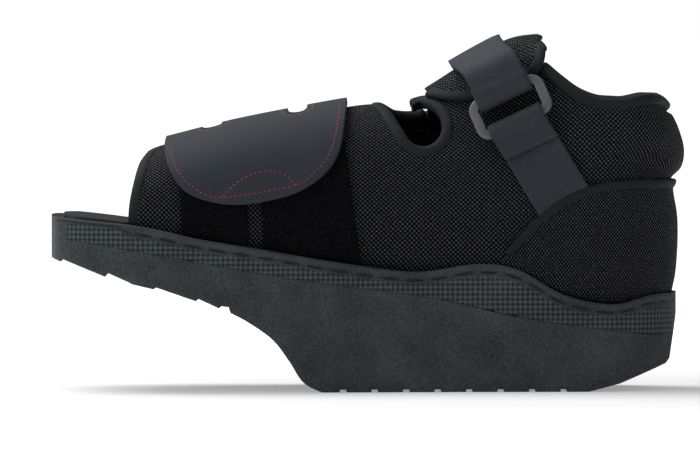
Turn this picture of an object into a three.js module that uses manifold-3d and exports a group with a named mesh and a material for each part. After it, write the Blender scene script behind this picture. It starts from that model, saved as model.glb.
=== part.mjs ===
// Forefoot offloading shoe: a wedge sole with a cut-away forefoot, an open-toed knitted upper,
// a slotted forefoot strap and a webbing ankle closure with a ring buckle.
// Millimetres, +Z up. The toe points to -X and the buckle side faces -Y.
// The origin is on the ground under the middle of the shoe.

import * as THREE from 'three';
import { mergeVertices } from 'three/addons/utils/BufferGeometryUtils.js';
import Module from 'manifold-3d';

const wasm = await Module();
wasm.setup();

// Driving dimensions

const CLEARANCE = 0.35; // air between neighbouring pieces
const KNIT_WALL = 3.5; // spacer-mesh wall of the vamp and quarters
const COLLAR_WALL = 5.5; // padded wall round the ankle
const PANEL_THICK = 1.4; // loop panels
const STRAP_THICK = 2.0; // forefoot strap
const COUNTER_THICK = 1.6; // heel overlay
const FLAP_THICK = 2.4; // instep flap
const WEBBING_THICK = 1.7;
const WEBBING_WIDTH = 25.4;
const INSOLE_THICK = 2.6;
const INSOLE_INSET = 4.5; // ledge of the sole round the insole's toe
const ROLL_RADIUS = 1.55; // rolled lip of the sole
const ROLL_PROUD = 0.3; // how far the lip stands out past the wall
const RIM_GAP = 0.8; // between the rolled lip and what ends above it

const TOE_TAPE_RADIUS = 2.5;
const THROAT_TAPE_RADIUS = 2.9;
const COLLAR_TAPE_RADIUS = 3.0;
const COUNTER_TAPE_RADIUS = 1.5;
const FLAP_TAPE_RADIUS = 1.25;
const TAPE_SEAT = 0.85; // share of a tape's radius by which the knit ends short of the tape's middle

const TREAD = { first: -11, pitch: 13.85, count: 8, width: 2.8, depth: 1.2 };

// Fineness of the solids

const OUTER_MESH = { rings: 28, sides: 18 }; // steps along and round the outside of the foot form
const INNER_MESH = { rings: 20, sides: 14 }; // and its inside
const BEAD_SIDES = 6; // sides of a rolled tape
const TAPE_STEPS = 20;
const ROLL_STEPS = 36;
const LONG_STEPS = 30; // steps of a line from toe to heel
const SHORT_STEPS = 6; // steps of a line across one panel
const EDGE_STEPS = 24; // steps of a curved edge
const ROUND_STEPS = 10; // steps round a hole
const WELD = 0.01; // corners closer than this are one
const LAP = 0.01; // lap of the near and far halves of a cut

// Reaches of the cuts

const BEYOND = 90; // half-width of a cut that passes right through the shoe
const HIGH = 260; // above everything
const LOW = -60; // below everything
const AHEAD = -200; // in front of everything
const TOE_END = -150; // ends of the lines that run from toe to heel
const HEEL_END = 150;

// Sections of the foot form, from the toe, round the instep, to the top of the collar.
// Each runs from a sole or heel point (bx, bz) to a crest or shin point (cx, cz).
// half: greatest half-width. low, high: squareness of the section towards each end.
const SECTIONS = [
  { bx: -116, bz: 58, cx: -116, cz: 102, half: 46.0, low: 3.2, high: 2.5, wall: KNIT_WALL },
  { bx: -92, bz: 56, cx: -90, cz: 107.5, half: 48.0, low: 3.2, high: 2.5, wall: KNIT_WALL },
  { bx: -62, bz: 52, cx: -60, cz: 115.0, half: 48.5, low: 3.2, high: 2.4, wall: KNIT_WALL },
  { bx: -30, bz: 46, cx: -30, cz: 121.0, half: 46.0, low: 3.2, high: 2.2, wall: KNIT_WALL },
  { bx: 0, bz: 40, cx: -6, cz: 125.2, half: 43.0, low: 3.0, high: 2.1, wall: KNIT_WALL },
  { bx: 30, bz: 33, cx: 10, cz: 126.3, half: 40.0, low: 3.0, high: 2.1, wall: KNIT_WALL },
  { bx: 60, bz: 27, cx: 22, cz: 128.5, half: 38.5, low: 3.0, high: 2.1, wall: KNIT_WALL },
  { bx: 90, bz: 22, cx: 31, cz: 133.5, half: 37.5, low: 3.0, high: 2.1, wall: KNIT_WALL },
  { bx: 116, bz: 25, cx: 38, cz: 138.0, half: 36.5, low: 2.8, high: 2.1, wall: KNIT_WALL },
  { bx: 129, bz: 36, cx: 43, cz: 141.0, half: 36.0, low: 2.5, high: 2.1, wall: KNIT_WALL },
  { bx: 133.5, bz: 48, cx: 47, cz: 143.4, half: 36.0, low: 2.3, high: 2.1, wall: KNIT_WALL },
  { bx: 135, bz: 62, cx: 51, cz: 145.7, half: 36.0, low: 2.2, high: 2.1, wall: KNIT_WALL },
  { bx: 135, bz: 76, cx: 54, cz: 147.5, half: 36.0, low: 2.2, high: 2.1, wall: KNIT_WALL },
  { bx: 133.2, bz: 88, cx: 57, cz: 149.2, half: 35.6, low: 2.2, high: 2.1, wall: 4.2 },
  { bx: 134.2, bz: 93.2, cx: 59, cz: 150.3, half: 36.0, low: 2.2, high: 2.1, wall: 4.8 },
  { bx: 138.4, bz: 98, cx: 61, cz: 151.4, half: 37.2, low: 2.2, high: 2.1, wall: COLLAR_WALL },
  { bx: 139.9, bz: 105, cx: 64, cz: 152.6, half: 38.0, low: 2.2, high: 2.1, wall: COLLAR_WALL },
  { bx: 138.8, bz: 112, cx: 67, cz: 153.4, half: 37.8, low: 2.2, high: 2.1, wall: COLLAR_WALL },
  { bx: 135.5, bz: 120, cx: 71, cz: 154.0, half: 37.0, low: 2.2, high: 2.1, wall: COLLAR_WALL },
  { bx: 129, bz: 128, cx: 76, cz: 154.4, half: 36.0, low: 2.2, high: 2.1, wall: COLLAR_WALL },
  { bx: 120, bz: 138, cx: 84, cz: 154.8, half: 35.0, low: 2.2, high: 2.1, wall: COLLAR_WALL },
];
const SECTION_COLUMNS = ['bx', 'bz', 'cx', 'cz', 'half', 'low', 'high', 'wall'];
const WIDEST_AT = 0.42; // share of a section, from the sole, where it is widest
const HEEL_FROM = 0.45; // share of the sections after which they climb the heel

// Half-width of the sole in plan, from the toe to the heel.
const PLAN = [
  { x: -140, half: 0 },
  { x: -139.6, half: 13 },
  { x: -138.4, half: 26 },
  { x: -135.5, half: 38 },
  { x: -122, half: 47.5 },
  { x: -98, half: 52.5 },
  { x: -70, half: 53 },
  { x: -35, half: 50 },
  { x: 0, half: 46.5 },
  { x: 40, half: 42.5 },
  { x: 80, half: 41 },
  { x: 105, half: 38.5 },
  { x: 124, half: 29 },
  { x: 133, half: 17 },
  { x: 136.2, half: 0 },
];
const PLAN_STEPS = 36;
const WIDEST_HALF = 53;

// Height of the rolled lip, which waves up beside the arch and down at the heel.
const RIM = [
  { x: TOE_END, z: 78.5 },
  { x: -103, z: 73.5 },
  { x: -74, z: 67.5 },
  { x: -45, z: 62.7 },
  { x: -15, z: 57.5 },
  { x: 20, z: 53.0 },
  { x: 48, z: 56.3 },
  { x: 66, z: 53.8 },
  { x: 86, z: 42.8 },
  { x: 108, z: 38.5 },
  { x: 126, z: 42.6 },
  { x: HEEL_END, z: 43.4 },
];

// Height of the footbed under the insole and the upper.
const FLOOR = [
  { x: TOE_END, z: 77.0 },
  { x: -103, z: 71.2 },
  { x: -74, z: 64.0 },
  { x: -15, z: 53.2 },
  { x: 20, z: 46.5 },
  { x: 60, z: 39.5 },
  { x: 105, z: 33.5 },
  { x: HEEL_END, z: 33.0 },
];

// Underside of the forefoot, stepped tread lugs from the toe back to the arch.
const FOREFOOT_STEPS = [
  { x: -140, z: 58.8 },
  { x: -135, z: 57.2 },
  { x: -134, z: 58.2 },
  { x: -115.4, z: 50.8 },
  { x: -114, z: 52.4 },
  { x: -105, z: 48.4 },
  { x: -103.6, z: 47.6 },
  { x: -94.2, z: 45.4 },
  { x: -93, z: 46.2 },
  { x: -75.6, z: 40.2 },
  { x: -74.4, z: 41.2 },
  { x: -65.4, z: 37.0 },
  { x: -64.4, z: 38.0 },
  { x: -61.2, z: 37.6 },
  { x: -60.4, z: 35.0 },
];

// Rocker curve from the forefoot down to the ground.
const ROCKER = [
  { x: -52.9, z: 31.0 },
  { x: -42, z: 23.2 },
  { x: -34.6, z: 13.6 },
  { x: -28.7, z: 4.6 },
  { x: -21.5, z: 0.5 },
];
const GROUND_FRONT = -19;
const HEEL_BEVEL = [
  { x: 97, z: 0 },
  { x: 110.8, z: 3.5 },
  { x: 131.2, z: 11.9 },
  { x: 133, z: 14 },
];
const TOE_TOP = { x: -138.3, z: 77 }; // front of the sole's top
const TOE_SHOULDER = { x: -106, drop: 0.6 }; // where the rolled lip runs out
const TOE_ROOM_BACK = -112; // back of the recess for the insole's toe
const INSOLE_TOE_BACK = -107;

// Cut lines of the upper, seen from the side.
const TOE_EDGE = [
  { x: -103, z: 60 },
  { x: -102.4, z: 80 },
  { x: -100.2, z: 92 },
  { x: -97.5, z: 100.5 },
  { x: -93.2, z: 105.0 },
  { x: -89.6, z: 107.2 },
];
const COLLAR_EDGE = [
  { x: 15, z: 127.0 },
  { x: 40, z: 135.0 },
  { x: 62, z: 140.5 },
  { x: 77, z: 142.5 },
  { x: 84, z: 136.4 },
  { x: 92, z: 130.6 },
  { x: 101, z: 127.0 },
  { x: 110, z: 126.2 },
  { x: 120, z: 127.6 },
  { x: 127, z: 127.4 },
  { x: 133, z: 123.4 },
  { x: HEEL_END, z: 112 },
];
const COLLAR_TAPE = { front: 76, back: 128, heelZ: 125 }; // stretch of the edge that is bound
const COUNTER_EDGE = [
  { x: 57.5, z: 56.5 },
  { x: 68, z: 67.6 },
  { x: 75.4, z: 75.2 },
  { x: 84, z: 81.8 },
  { x: 94, z: 87.0 },
  { x: 105, z: 90.0 },
  { x: 117, z: 91.2 },
  { x: 127, z: 91.0 },
  { x: 145, z: 89.0 },
];
const COUNTER_TAPE_BACK = 128; // the tape rounds the heel from here
const COUNTER_TIP = 4; // length of the overlay's pointed front that the rim hides

// Keyhole notch on the buckle side, and the throat's shallow edge on the far side.
const KEYHOLE = { x: 24.2, z: 115.8, radius: 8.2 };
const THROAT = { crestX: 4, riseX: 9, riseZ: 119, from: 1.95, to: -2.62, steps: 14, mouth: 3 };
const THROAT_FAR = [
  { x: 8.5, z: 121.4 },
  { x: 14, z: 119.8 },
  { x: 20.5, z: 119.8 },
  { x: 26, z: 121.4 },
];

// Loop panels: slanted front and back edges, their low ends at the rim.
const PANELS = {
  loop_panel_front: {
    lowFront: -80.6, lowBack: -52.0, highFront: -83.5, highBack: -54.0, topFront: 101, topBack: 105,
  },
  loop_panel_rear: {
    lowFront: -45.5, lowBack: -2.3, highFront: -47.5, highBack: -10.5, topFront: 106, topBack: 110,
  },
};

// Near edge of the forefoot strap's flap, from its front corner on the crest round to the back.
const FLAP_EDGE = [
  { x: -86.5, z: 116 },
  { x: -89.2, z: 107 },
  { x: -87.0, z: 97 },
  { x: -80.5, z: 88.3 },
  { x: -70.5, z: 84.0 },
  { x: -58.5, z: 82.4 },
  { x: -45.5, z: 83.8 },
  { x: -31.3, z: 87.6 },
  { x: -19.5, z: 95.2 },
  { x: -12.8, z: 105 },
  { x: -10.2, z: 118 },
  { x: -8.5, z: 132 },
];
const STRAP_FAR = { lowFront: -80, lowBack: -22 }; // its band on the far side, at the rim
const SLOTS = [{ x: -68.4 }, { x: -31.2 }];
const SLOT = { width: 8.6, reach: 19, floorZ: 103 };

// Instep flap, seen from the near side and, where it is sewn on, from the far side.
const INSTEP_NEAR = [
  { x: 28, z: 130.4 },
  { x: 43.5, z: 129.8 },
  { x: 60, z: 134.4 },
  { x: 70.5, z: 138.8 },
  { x: 77.2, z: 144.6 },
  { x: 78.2, z: 150 },
];
const INSTEP_FAR = [
  { x: 28, z: 130.4 },
  { x: 50, z: 110 },
  { x: 80, z: 118 },
  { x: 78.2, z: 150 },
];

// Ring buckle: its middle seen from the side, the rise of its long bars, and its sizes.
const RING = { x: 62.6, z: 125.0, rise: 0.48, length: 36, height: 19, bar: 4.0, corner: 3, hole: 1, bevel: 0.7 };
const BAR_GAP = 0.45; // between a bar and the webbing round it
const LOWER_LIFT = 0.6; // extra stand-off of the lower bar

// Middle line of the webbing seen from the side, from over the instep down to the heel overlay.
const WEBBING_LINE = {
  above: { x: 34, z: 168 },
  crest: { x: 46.4, z: 150.2 },
  ring: { x: 60.6, z: 130.4 },
  below: { x: 68.6, z: 113.7 },
  heel: { x: 88, z: 75.8 },
};

const FINISH = {
  sole: { color: 0x2e3133, roughness: 0.8, metalness: 0 },
  knit: { color: 0x1c1e20, roughness: 0.85, metalness: 0 },
  tape: { color: 0x26282a, roughness: 0.75, metalness: 0 },
  loop: { color: 0x121314, roughness: 0.95, metalness: 0 },
  leather: { color: 0x3a3e42, roughness: 0.6, metalness: 0 },
  webbing: { color: 0x2a2e33, roughness: 0.75, metalness: 0 },
  plastic: { color: 0x3a3d40, roughness: 0.4, metalness: 0 },
};

// Layers stacked outwards from the knitted wall.
const PANEL_LAYER = [CLEARANCE, CLEARANCE + PANEL_THICK];
const STRAP_LAYER = [PANEL_LAYER[1] + CLEARANCE, PANEL_LAYER[1] + CLEARANCE + STRAP_THICK];
const COUNTER_LAYER = [CLEARANCE, CLEARANCE + COUNTER_THICK];
const FLAP_LAYER = [CLEARANCE, CLEARANCE + FLAP_THICK];
const WEBBING_LAYER = [CLEARANCE, CLEARANCE + WEBBING_THICK];
const OVER_FLAP_LAYER = [FLAP_LAYER[1] + CLEARANCE, FLAP_LAYER[1] + CLEARANCE + WEBBING_THICK];

// Sizes worked out from those above
const TAPE_RING = KEYHOLE.radius + THROAT_TAPE_RADIUS;
const FLAP_TAPE_GROW = CLEARANCE + FLAP_TAPE_RADIUS;
const COUNTER_TAPE_GROW = CLEARANCE + COUNTER_TAPE_RADIUS;
const RING_TILT = Math.atan(RING.rise);
const [ALONG_X, ALONG_Z] = [Math.cos(RING_TILT), Math.sin(RING_TILT)];
const BAR_UP = (RING.height - RING.bar) / 2;
const UPPER_GROW = OVER_FLAP_LAYER[1] + BAR_GAP + RING.bar / 2;
const LOWER_GROW = WEBBING_LAYER[1] + BAR_GAP + RING.bar / 2 + LOWER_LIFT;

// Solids and cuts

/** A side-view point. */
function flat(x, z) {
  return new THREE.Vector2(x, z);
}

/** A closed geometry as a solid that can be joined and cut. */
function solid(geometry) {
  const bare = geometry.index ? geometry.toNonIndexed() : geometry.clone();
  bare.deleteAttribute('normal');
  bare.deleteAttribute('uv');
  const merged = mergeVertices(bare, 1e-4);
  return new wasm.Manifold(new wasm.Mesh({
    numProp: 3,
    vertProperties: new Float32Array(merged.attributes.position.array),
    triVerts: new Uint32Array(merged.index.array),
  }));
}

/** A solid's surface as a geometry again, with corners that all but meet made one. */
function surface(body) {
  const mesh = body.getMesh();
  const geometry = new THREE.BufferGeometry();
  geometry.setAttribute('position', new THREE.BufferAttribute(new Float32Array(mesh.vertProperties), 3));
  geometry.setIndex(new THREE.BufferAttribute(new Uint32Array(mesh.triVerts), 1));
  const welded = mergeVertices(geometry, WELD);
  const faces = [];
  for (let face = 0; face < welded.index.count; face += 3) {
    const [a, b, c] = welded.index.array.slice(face, face + 3);
    if (a !== b && b !== c && c !== a) faces.push(a, b, c);
  }
  welded.setIndex(faces);
  welded.computeVertexNormals();
  return welded;
}

/** The largest connected piece of a cut solid, without crumbs left at a cut. */
function mainBody(body) {
  const pieces = body.decompose();
  return pieces.reduce((a, b) => (b.volume() > a.volume() ? b : a));
}

/** A smooth reader of one column of a table over its x column. */
function reader(rows, column) {
  const curve = new THREE.SplineCurve(rows.map((row) => new THREE.Vector2(row.x, row[column])));
  const samples = curve.getPoints(rows.length * 12);
  return (x) => {
    const next = samples.findIndex((point) => point.x >= x);
    if (next < 0) return samples.at(-1).y;
    if (next === 0) return samples[0].y;
    const [a, b] = [samples[next - 1], samples[next]];
    return THREE.MathUtils.mapLinear(x, a.x, b.x, a.y, b.y);
  };
}

/** Points of a smooth line through rows, seen from the side. */
function sideLine(rows, steps) {
  return new THREE.SplineCurve(rows.map((row) => flat(row.x, row.z))).getPoints(steps);
}

/** A side-view line of a height reader between two places. */
function readLine(read, from, to, steps) {
  return Array.from({ length: steps + 1 }, (_, step) => {
    const x = THREE.MathUtils.lerp(from, to, step / steps);
    return flat(x, read(x));
  });
}

/** A side-view line lifted or lowered by a distance. */
function lifted(line, rise) {
  return line.map((point) => flat(point.x, point.y + rise));
}

/** A side-view line closed to one side of the shoe, far above or far below it. */
function closedTo(line, farZ) {
  return [...line, flat(line.at(-1).x, farZ), flat(line[0].x, farZ)];
}

/** A prism across the shoe: a side-view outline between two widths. */
function prism(points, yLow = -BEYOND, yHigh = BEYOND) {
  const depth = yHigh - yLow;
  const geometry = new THREE.ExtrudeGeometry(new THREE.Shape(points), { depth, bevelEnabled: false });
  geometry.rotateX(Math.PI / 2);
  geometry.translate(0, yHigh, 0);
  return solid(geometry);
}

/** A prism with one outline on the near side and another on the far side. */
function twoSided(near, far) {
  return prism(near, -BEYOND, LAP).add(prism(far, -LAP, BEYOND));
}

/** A round tape or bead along points, open at its ends. */
function bead(points, radius, steps) {
  const section = new THREE.Shape();
  section.absarc(0, 0, radius, 0, Math.PI * 2);
  return new THREE.ExtrudeGeometry(section, {
    steps,
    curveSegments: BEAD_SIDES / 2,
    extrudePath: new THREE.CatmullRomCurve3(points, false, 'centripetal'),
  });
}

// The foot form

const sectionCurves = Object.fromEntries(SECTION_COLUMNS.map((name) => [
  name,
  new THREE.SplineCurve(SECTIONS.map((row, index) => new THREE.Vector2(index, row[name]))),
]));

/** The section at share u of the way from toe to collar. */
function sectionAt(u) {
  return Object.fromEntries(SECTION_COLUMNS.map((name) => [name, sectionCurves[name].getPoint(u).y]));
}

/** Half-width at share t of a section, from its sole or heel end to its crest end. */
function halfWidth(row, t) {
  if (t < WIDEST_AT) {
    const from = (WIDEST_AT - t) / WIDEST_AT;
    return row.half * (1 - from ** row.low) ** (1 / row.low);
  }
  const from = (t - WIDEST_AT) / (1 - WIDEST_AT);
  return row.half * Math.max(0, 1 - from ** row.high) ** (1 / row.high);
}

/** A section grown outwards by a distance, or shrunk by a negative one. */
function grown(row, grow) {
  const length = Math.hypot(row.cx - row.bx, row.cz - row.bz);
  const [ex, ez] = [(row.cx - row.bx) / length, (row.cz - row.bz) / length];
  return {
    ...row,
    bx: row.bx - ex * grow,
    bz: row.bz - ez * grow,
    cx: row.cx + ex * grow,
    cz: row.cz + ez * grow,
    half: row.half + grow,
  };
}

/** A point of the grown form at share u and turn angle: 0 at the sole, pi at the crest. */
function formPoint(u, angle, growAt) {
  const base = sectionAt(u);
  const row = grown(base, growAt(base));
  const t = (1 - Math.cos(angle)) / 2;
  const y = Math.sign(Math.sin(angle)) * halfWidth(row, t);
  return new THREE.Vector3(
    THREE.MathUtils.lerp(row.bx, row.cx, t),
    y,
    THREE.MathUtils.lerp(row.bz, row.cz, t),
  );
}

/** The whole foot form as a solid, grown by a distance at each section. */
function form(growAt, { rings, sides } = OUTER_MESH) {
  const positions = [];
  const faces = [];
  for (let ring = 0; ring <= rings; ring += 1) {
    for (let side = 0; side < sides; side += 1) {
      const angle = (side / sides) * Math.PI * 2;
      positions.push(...formPoint(ring / rings, angle, growAt).toArray());
    }
  }
  const at = (ring, side) => ring * sides + (side % sides);
  for (let ring = 0; ring < rings; ring += 1) {
    for (let side = 0; side < sides; side += 1) {
      const [a, b] = [at(ring, side), at(ring, side + 1)];
      const [c, d] = [at(ring + 1, side + 1), at(ring + 1, side)];
      faces.push(a, b, c, a, c, d);
    }
  }
  for (let side = 1; side < sides - 1; side += 1) {
    faces.push(at(0, 0), at(0, side + 1), at(0, side));
    faces.push(at(rings, 0), at(rings, side), at(rings, side + 1));
  }
  const geometry = new THREE.BufferGeometry();
  geometry.setAttribute('position', new THREE.Float32BufferAttribute(positions, 3));
  geometry.setIndex(faces);
  return solid(geometry);
}

/** A layer of the foot form between two distances from the knitted wall. */
function layer([inner, outer]) {
  return form(() => outer).subtract(form(() => inner));
}

/** Half-width of the form at a side-view place, grown by a distance. */
function wallY(x, z, grow) {
  let [low, high] = [0, 1];
  const beside = (u) => {
    const row = sectionAt(u);
    return (row.cx - row.bx) * (z - row.bz) - (row.cz - row.bz) * (x - row.bx);
  };
  for (let step = 0; step < 40; step += 1) {
    const middle = (low + high) / 2;
    if (beside(middle) < 0) low = middle;
    else high = middle;
  }
  const row = grown(sectionAt(low), grow);
  const [dx, dz] = [row.cx - row.bx, row.cz - row.bz];
  const t = ((x - row.bx) * dx + (z - row.bz) * dz) / (dx * dx + dz * dz);
  return halfWidth(row, THREE.MathUtils.clamp(t, 0, 1));
}

/** Side-view points laid on the grown wall, on the near side or the far side. */
function onWall(points, grow, side) {
  return points.map((point) => new THREE.Vector3(point.x, side * wallY(point.x, point.y, grow), point.y));
}

/** A path over the shoe: near points up to a middle-line point and far points down again. */
function overShoe(near, top, far, grow) {
  return [...onWall(near, grow, -1), new THREE.Vector3(top.x, 0, top.y), ...onWall(far, grow, 1)];
}

/** The same path on both sides of the shoe, through a middle-line point. */
function bothSides(near, top, grow) {
  return overShoe(near, top, [...near].reverse(), grow);
}

/** The section whose end comes nearest to a wanted value, of those after a share of the way. */
function nearestSection(column, wanted, grow, from = 0) {
  const steps = 400;
  const rows = Array.from({ length: steps + 1 }, (_, step) => {
    return grown(sectionAt(THREE.MathUtils.lerp(from, 1, step / steps)), grow);
  });
  const miss = (row) => Math.abs(row[column] - wanted);
  return rows.reduce((a, b) => (miss(b) < miss(a) ? b : a));
}

/** The middle-line point of the crest or shin side at a place along the shoe. */
function crestPoint(x, grow) {
  const row = nearestSection('cx', x, grow);
  return flat(row.cx, row.cz);
}

/** The middle-line point of the heel side at a height. */
function heelPoint(z, grow) {
  const row = nearestSection('bz', z, grow, HEEL_FROM);
  return flat(row.bx, row.bz);
}

// Shared lines and solids

const rimZ = reader(RIM, 'z');
const floorZ = reader(FLOOR, 'z');
const planCurve = new THREE.SplineCurve(PLAN.map((row) => new THREE.Vector2(row.x, row.half)));
const floorLine = readLine(floorZ, TOE_END, HEEL_END, LONG_STEPS);
const counterLine = sideLine(COUNTER_EDGE, EDGE_STEPS);
const collarLine = sideLine(COLLAR_EDGE, 2 * EDGE_STEPS);
const toeLine = sideLine(TOE_EDGE, EDGE_STEPS / 2);

const outerForm = form(() => 0);
const innerForm = form((row) => -row.wall, INNER_MESH);
const aboveFloor = prism(closedTo(floorLine, HIGH));
const belowFloor = prism(closedTo(lifted(floorLine, CLEARANCE), LOW));

/** The sole's plan outline drawn in by a distance, as a solid column. */
function planColumn(inset) {
  const reach = -PLAN[0].x;
  const edge = planCurve.getPoints(PLAN_STEPS).map((point) => new THREE.Vector2(
    point.x * (1 - inset / reach),
    Math.max(0, point.y * (1 - inset / WIDEST_HALF)),
  ));
  const near = edge.map((point) => new THREE.Vector2(point.x, -point.y));
  const far = edge.slice(1, -1).reverse();
  const depth = HIGH - LOW;
  const geometry = new THREE.ExtrudeGeometry(new THREE.Shape([...near, ...far]), { depth, bevelEnabled: false });
  geometry.translate(0, 0, LOW);
  return solid(geometry);
}

/** Everything in front of a place along the shoe. */
function inFrontOf(x) {
  return prism([flat(AHEAD, LOW), flat(x, LOW), flat(x, HIGH), flat(AHEAD, HIGH)]);
}

// Sole and insole

/** Side profile of the wedge, from the toe along the underside to the heel and back over the top. */
function soleProfile() {
  const steps = FOREFOOT_STEPS.map((row) => flat(row.x, row.z));
  const curve = [FOREFOOT_STEPS.at(-1), ...ROCKER, { x: GROUND_FRONT, z: 0 }];
  const rocker = sideLine(curve, EDGE_STEPS / 2).slice(1);
  const tread = [];
  for (let groove = 0; groove < TREAD.count; groove += 1) {
    const middle = TREAD.first + groove * TREAD.pitch;
    const [from, to] = [middle - TREAD.width / 2, middle + TREAD.width / 2];
    tread.push(flat(from, 0), flat(from, TREAD.depth), flat(to, TREAD.depth), flat(to, 0));
  }
  const heel = HEEL_BEVEL.map((row) => flat(row.x, row.z));
  const backX = PLAN.at(-1).x;
  const heelBack = flat(backX + 1, rimZ(backX) - ROLL_RADIUS);
  const top = lifted(readLine(rimZ, backX - 2, TOE_EDGE[0].x, LONG_STEPS), -ROLL_RADIUS);
  const shoulder = flat(TOE_SHOULDER.x, rimZ(TOE_SHOULDER.x) - TOE_SHOULDER.drop);
  return [...steps, ...rocker, ...tread, ...heel, heelBack, ...top, shoulder, flat(TOE_TOP.x, TOE_TOP.z)];
}

/** Middle line of the rolled lip, along the plan outline at the height of the rim. */
function rollPath() {
  const edge = planCurve.getPoints(2 * PLAN_STEPS).filter((point) => point.x > TOE_EDGE[0].x);
  const scale = 1 - ROLL_RADIUS / -PLAN[0].x;
  const inset = ROLL_RADIUS - ROLL_PROUD;
  const near = edge.map((point) => new THREE.Vector3(
    point.x * scale,
    -Math.max(0, point.y - inset),
    rimZ(point.x) - ROLL_RADIUS,
  ));
  const far = near.slice(0, -1).reverse().map((point) => new THREE.Vector3(point.x, -point.y, point.z));
  return [...near, ...far];
}

function sole() {
  const wedge = prism(soleProfile()).intersect(planColumn(0));
  const lipped = wedge.add(solid(bead(rollPath(), ROLL_RADIUS, ROLL_STEPS)));
  const footRoom = form(() => CLEARANCE).intersect(aboveFloor);
  const toeRoom = planColumn(INSOLE_INSET).intersect(aboveFloor).intersect(inFrontOf(TOE_ROOM_BACK));
  return lipped.subtract(footRoom).subtract(toeRoom);
}

function insole() {
  const low = lifted(floorLine, CLEARANCE);
  const slab = prism([...low, ...lifted(low, INSOLE_THICK).reverse()]);
  const toe = slab.intersect(planColumn(INSOLE_INSET + CLEARANCE)).intersect(inFrontOf(INSOLE_TOE_BACK));
  const inside = slab.intersect(form((row) => -row.wall - CLEARANCE, INNER_MESH));
  return toe.add(inside);
}

// Upper and its tapes

/** Middle of the throat tape on the near side, from the ankle tip round the keyhole to the vamp. */
function throatLine() {
  const round = Array.from({ length: THROAT.steps + 1 }, (_, step) => {
    const angle = THREE.MathUtils.lerp(THROAT.from, THROAT.to, step / THROAT.steps);
    return flat(KEYHOLE.x + TAPE_RING * Math.cos(angle), KEYHOLE.z + TAPE_RING * Math.sin(angle));
  });
  return [...round, flat(THROAT.riseX, THROAT.riseZ)];
}

const throatTop = crestPoint(THROAT.crestX, -KNIT_WALL / 2);
const throatFar = THROAT_FAR.map((row) => flat(row.x, row.z));

/** The keyhole and its mouth on the near side, and the shallow throat on the far side. */
function throatCut() {
  const seat = TAPE_SEAT * THROAT_TAPE_RADIUS;
  const hole = new THREE.Shape();
  hole.absarc(KEYHOLE.x, KEYHOLE.z, TAPE_RING + seat, 0, Math.PI * 2);
  const round = prism(hole.getPoints(ROUND_STEPS), -BEYOND, LAP);
  const line = throatLine();
  const [tip, rise] = [line[0], line.at(-1)];
  const inside = TAPE_RING - seat;
  const [holeX, holeZ] = [inside * Math.cos(THROAT.to), inside * Math.sin(THROAT.to)];
  const top = flat(throatTop.x - seat, throatTop.y - seat / 2);
  const mouth = [flat(top.x, HIGH), top];
  const near = [
    flat(KEYHOLE.x + holeX, KEYHOLE.z + holeZ),
    flat(KEYHOLE.x, KEYHOLE.z),
    tip,
    flat(tip.x - THROAT.mouth, HIGH),
    ...mouth,
    flat(rise.x - seat, rise.y - seat / 2),
  ];
  const far = [flat(throatFar.at(-1).x, HIGH), ...mouth, ...lifted(throatFar, -seat)];
  return round.add(twoSided(near, far));
}

const tapeRadii = {
  toe_binding: TOE_TAPE_RADIUS,
  throat_binding: THROAT_TAPE_RADIUS,
  collar_binding: COLLAR_TAPE_RADIUS,
  heel_counter_binding: COUNTER_TAPE_RADIUS,
  instep_flap_binding: FLAP_TAPE_RADIUS,
};
const tapePaths = {
  toe_binding: toeTapePath(),
  throat_binding: overShoe(throatLine(), throatTop, throatFar, -KNIT_WALL / 2),
  collar_binding: collarTapePath(),
  heel_counter_binding: counterTapePath(),
  instep_flap_binding: instepTapePath(),
};

function toeTapePath() {
  const grow = -KNIT_WALL / 2;
  const onFoot = toeLine.filter((point) => point.y > floorZ(point.x) + TOE_TAPE_RADIUS + 1);
  return bothSides(onFoot.slice(0, -1), crestPoint(TOE_EDGE.at(-1).x, grow), grow);
}

function collarTapePath() {
  const grow = -COLLAR_WALL / 2;
  const bound = COLLAR_EDGE.filter((row) => row.x > COLLAR_TAPE.front && row.x < COLLAR_TAPE.back);
  return bothSides(bound.map((row) => flat(row.x, row.z)), heelPoint(COLLAR_TAPE.heelZ, grow), grow);
}

function counterTapePath() {
  const aboveRim = (point) => point.y > rimZ(point.x) + COUNTER_TAPE_RADIUS;
  const near = counterLine.filter((point) => aboveRim(point) && point.x < COUNTER_TAPE_BACK);
  return bothSides(near, heelPoint(COUNTER_EDGE.at(-2).z, COUNTER_TAPE_GROW), COUNTER_TAPE_GROW);
}

/** Along the near edge of the instep flap and over the shin to its far side. */
function instepTapePath() {
  const near = INSTEP_NEAR.map((row) => flat(row.x, row.z));
  const top = crestPoint(INSTEP_NEAR.at(-1).x, FLAP_TAPE_GROW);
  return overShoe(near, top, near.slice(-2).reverse(), FLAP_TAPE_GROW);
}

/** A tape as a solid, grown by a distance for the room it needs. */
function tape(name, grow = 0) {
  return solid(bead(tapePaths[name], tapeRadii[name] + grow, TAPE_STEPS));
}

/** A solid cut clear of named tapes. */
function besideTapes(body, ...names) {
  return names.reduce((rest, name) => rest.subtract(tape(name, CLEARANCE)), body);
}

function upper() {
  const seat = TAPE_SEAT * TOE_TAPE_RADIUS;
  const toeCut = toeLine.map((point) => flat(point.x + seat, point.y - seat / 2));
  const inFront = [
    ...toeCut,
    flat(toeCut.at(-1).x, HIGH),
    flat(AHEAD, HIGH),
    flat(AHEAD, LOW),
    flat(toeCut[0].x, LOW),
  ];
  const collarCut = lifted(collarLine, -TAPE_SEAT * COLLAR_TAPE_RADIUS);
  const shell = outerForm.subtract(innerForm).subtract(belowFloor);
  const open = shell.subtract(prism(inFront)).subtract(prism(closedTo(collarCut, HIGH)));
  return mainBody(besideTapes(open.subtract(throatCut()), 'toe_binding', 'throat_binding', 'collar_binding'));
}

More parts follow.
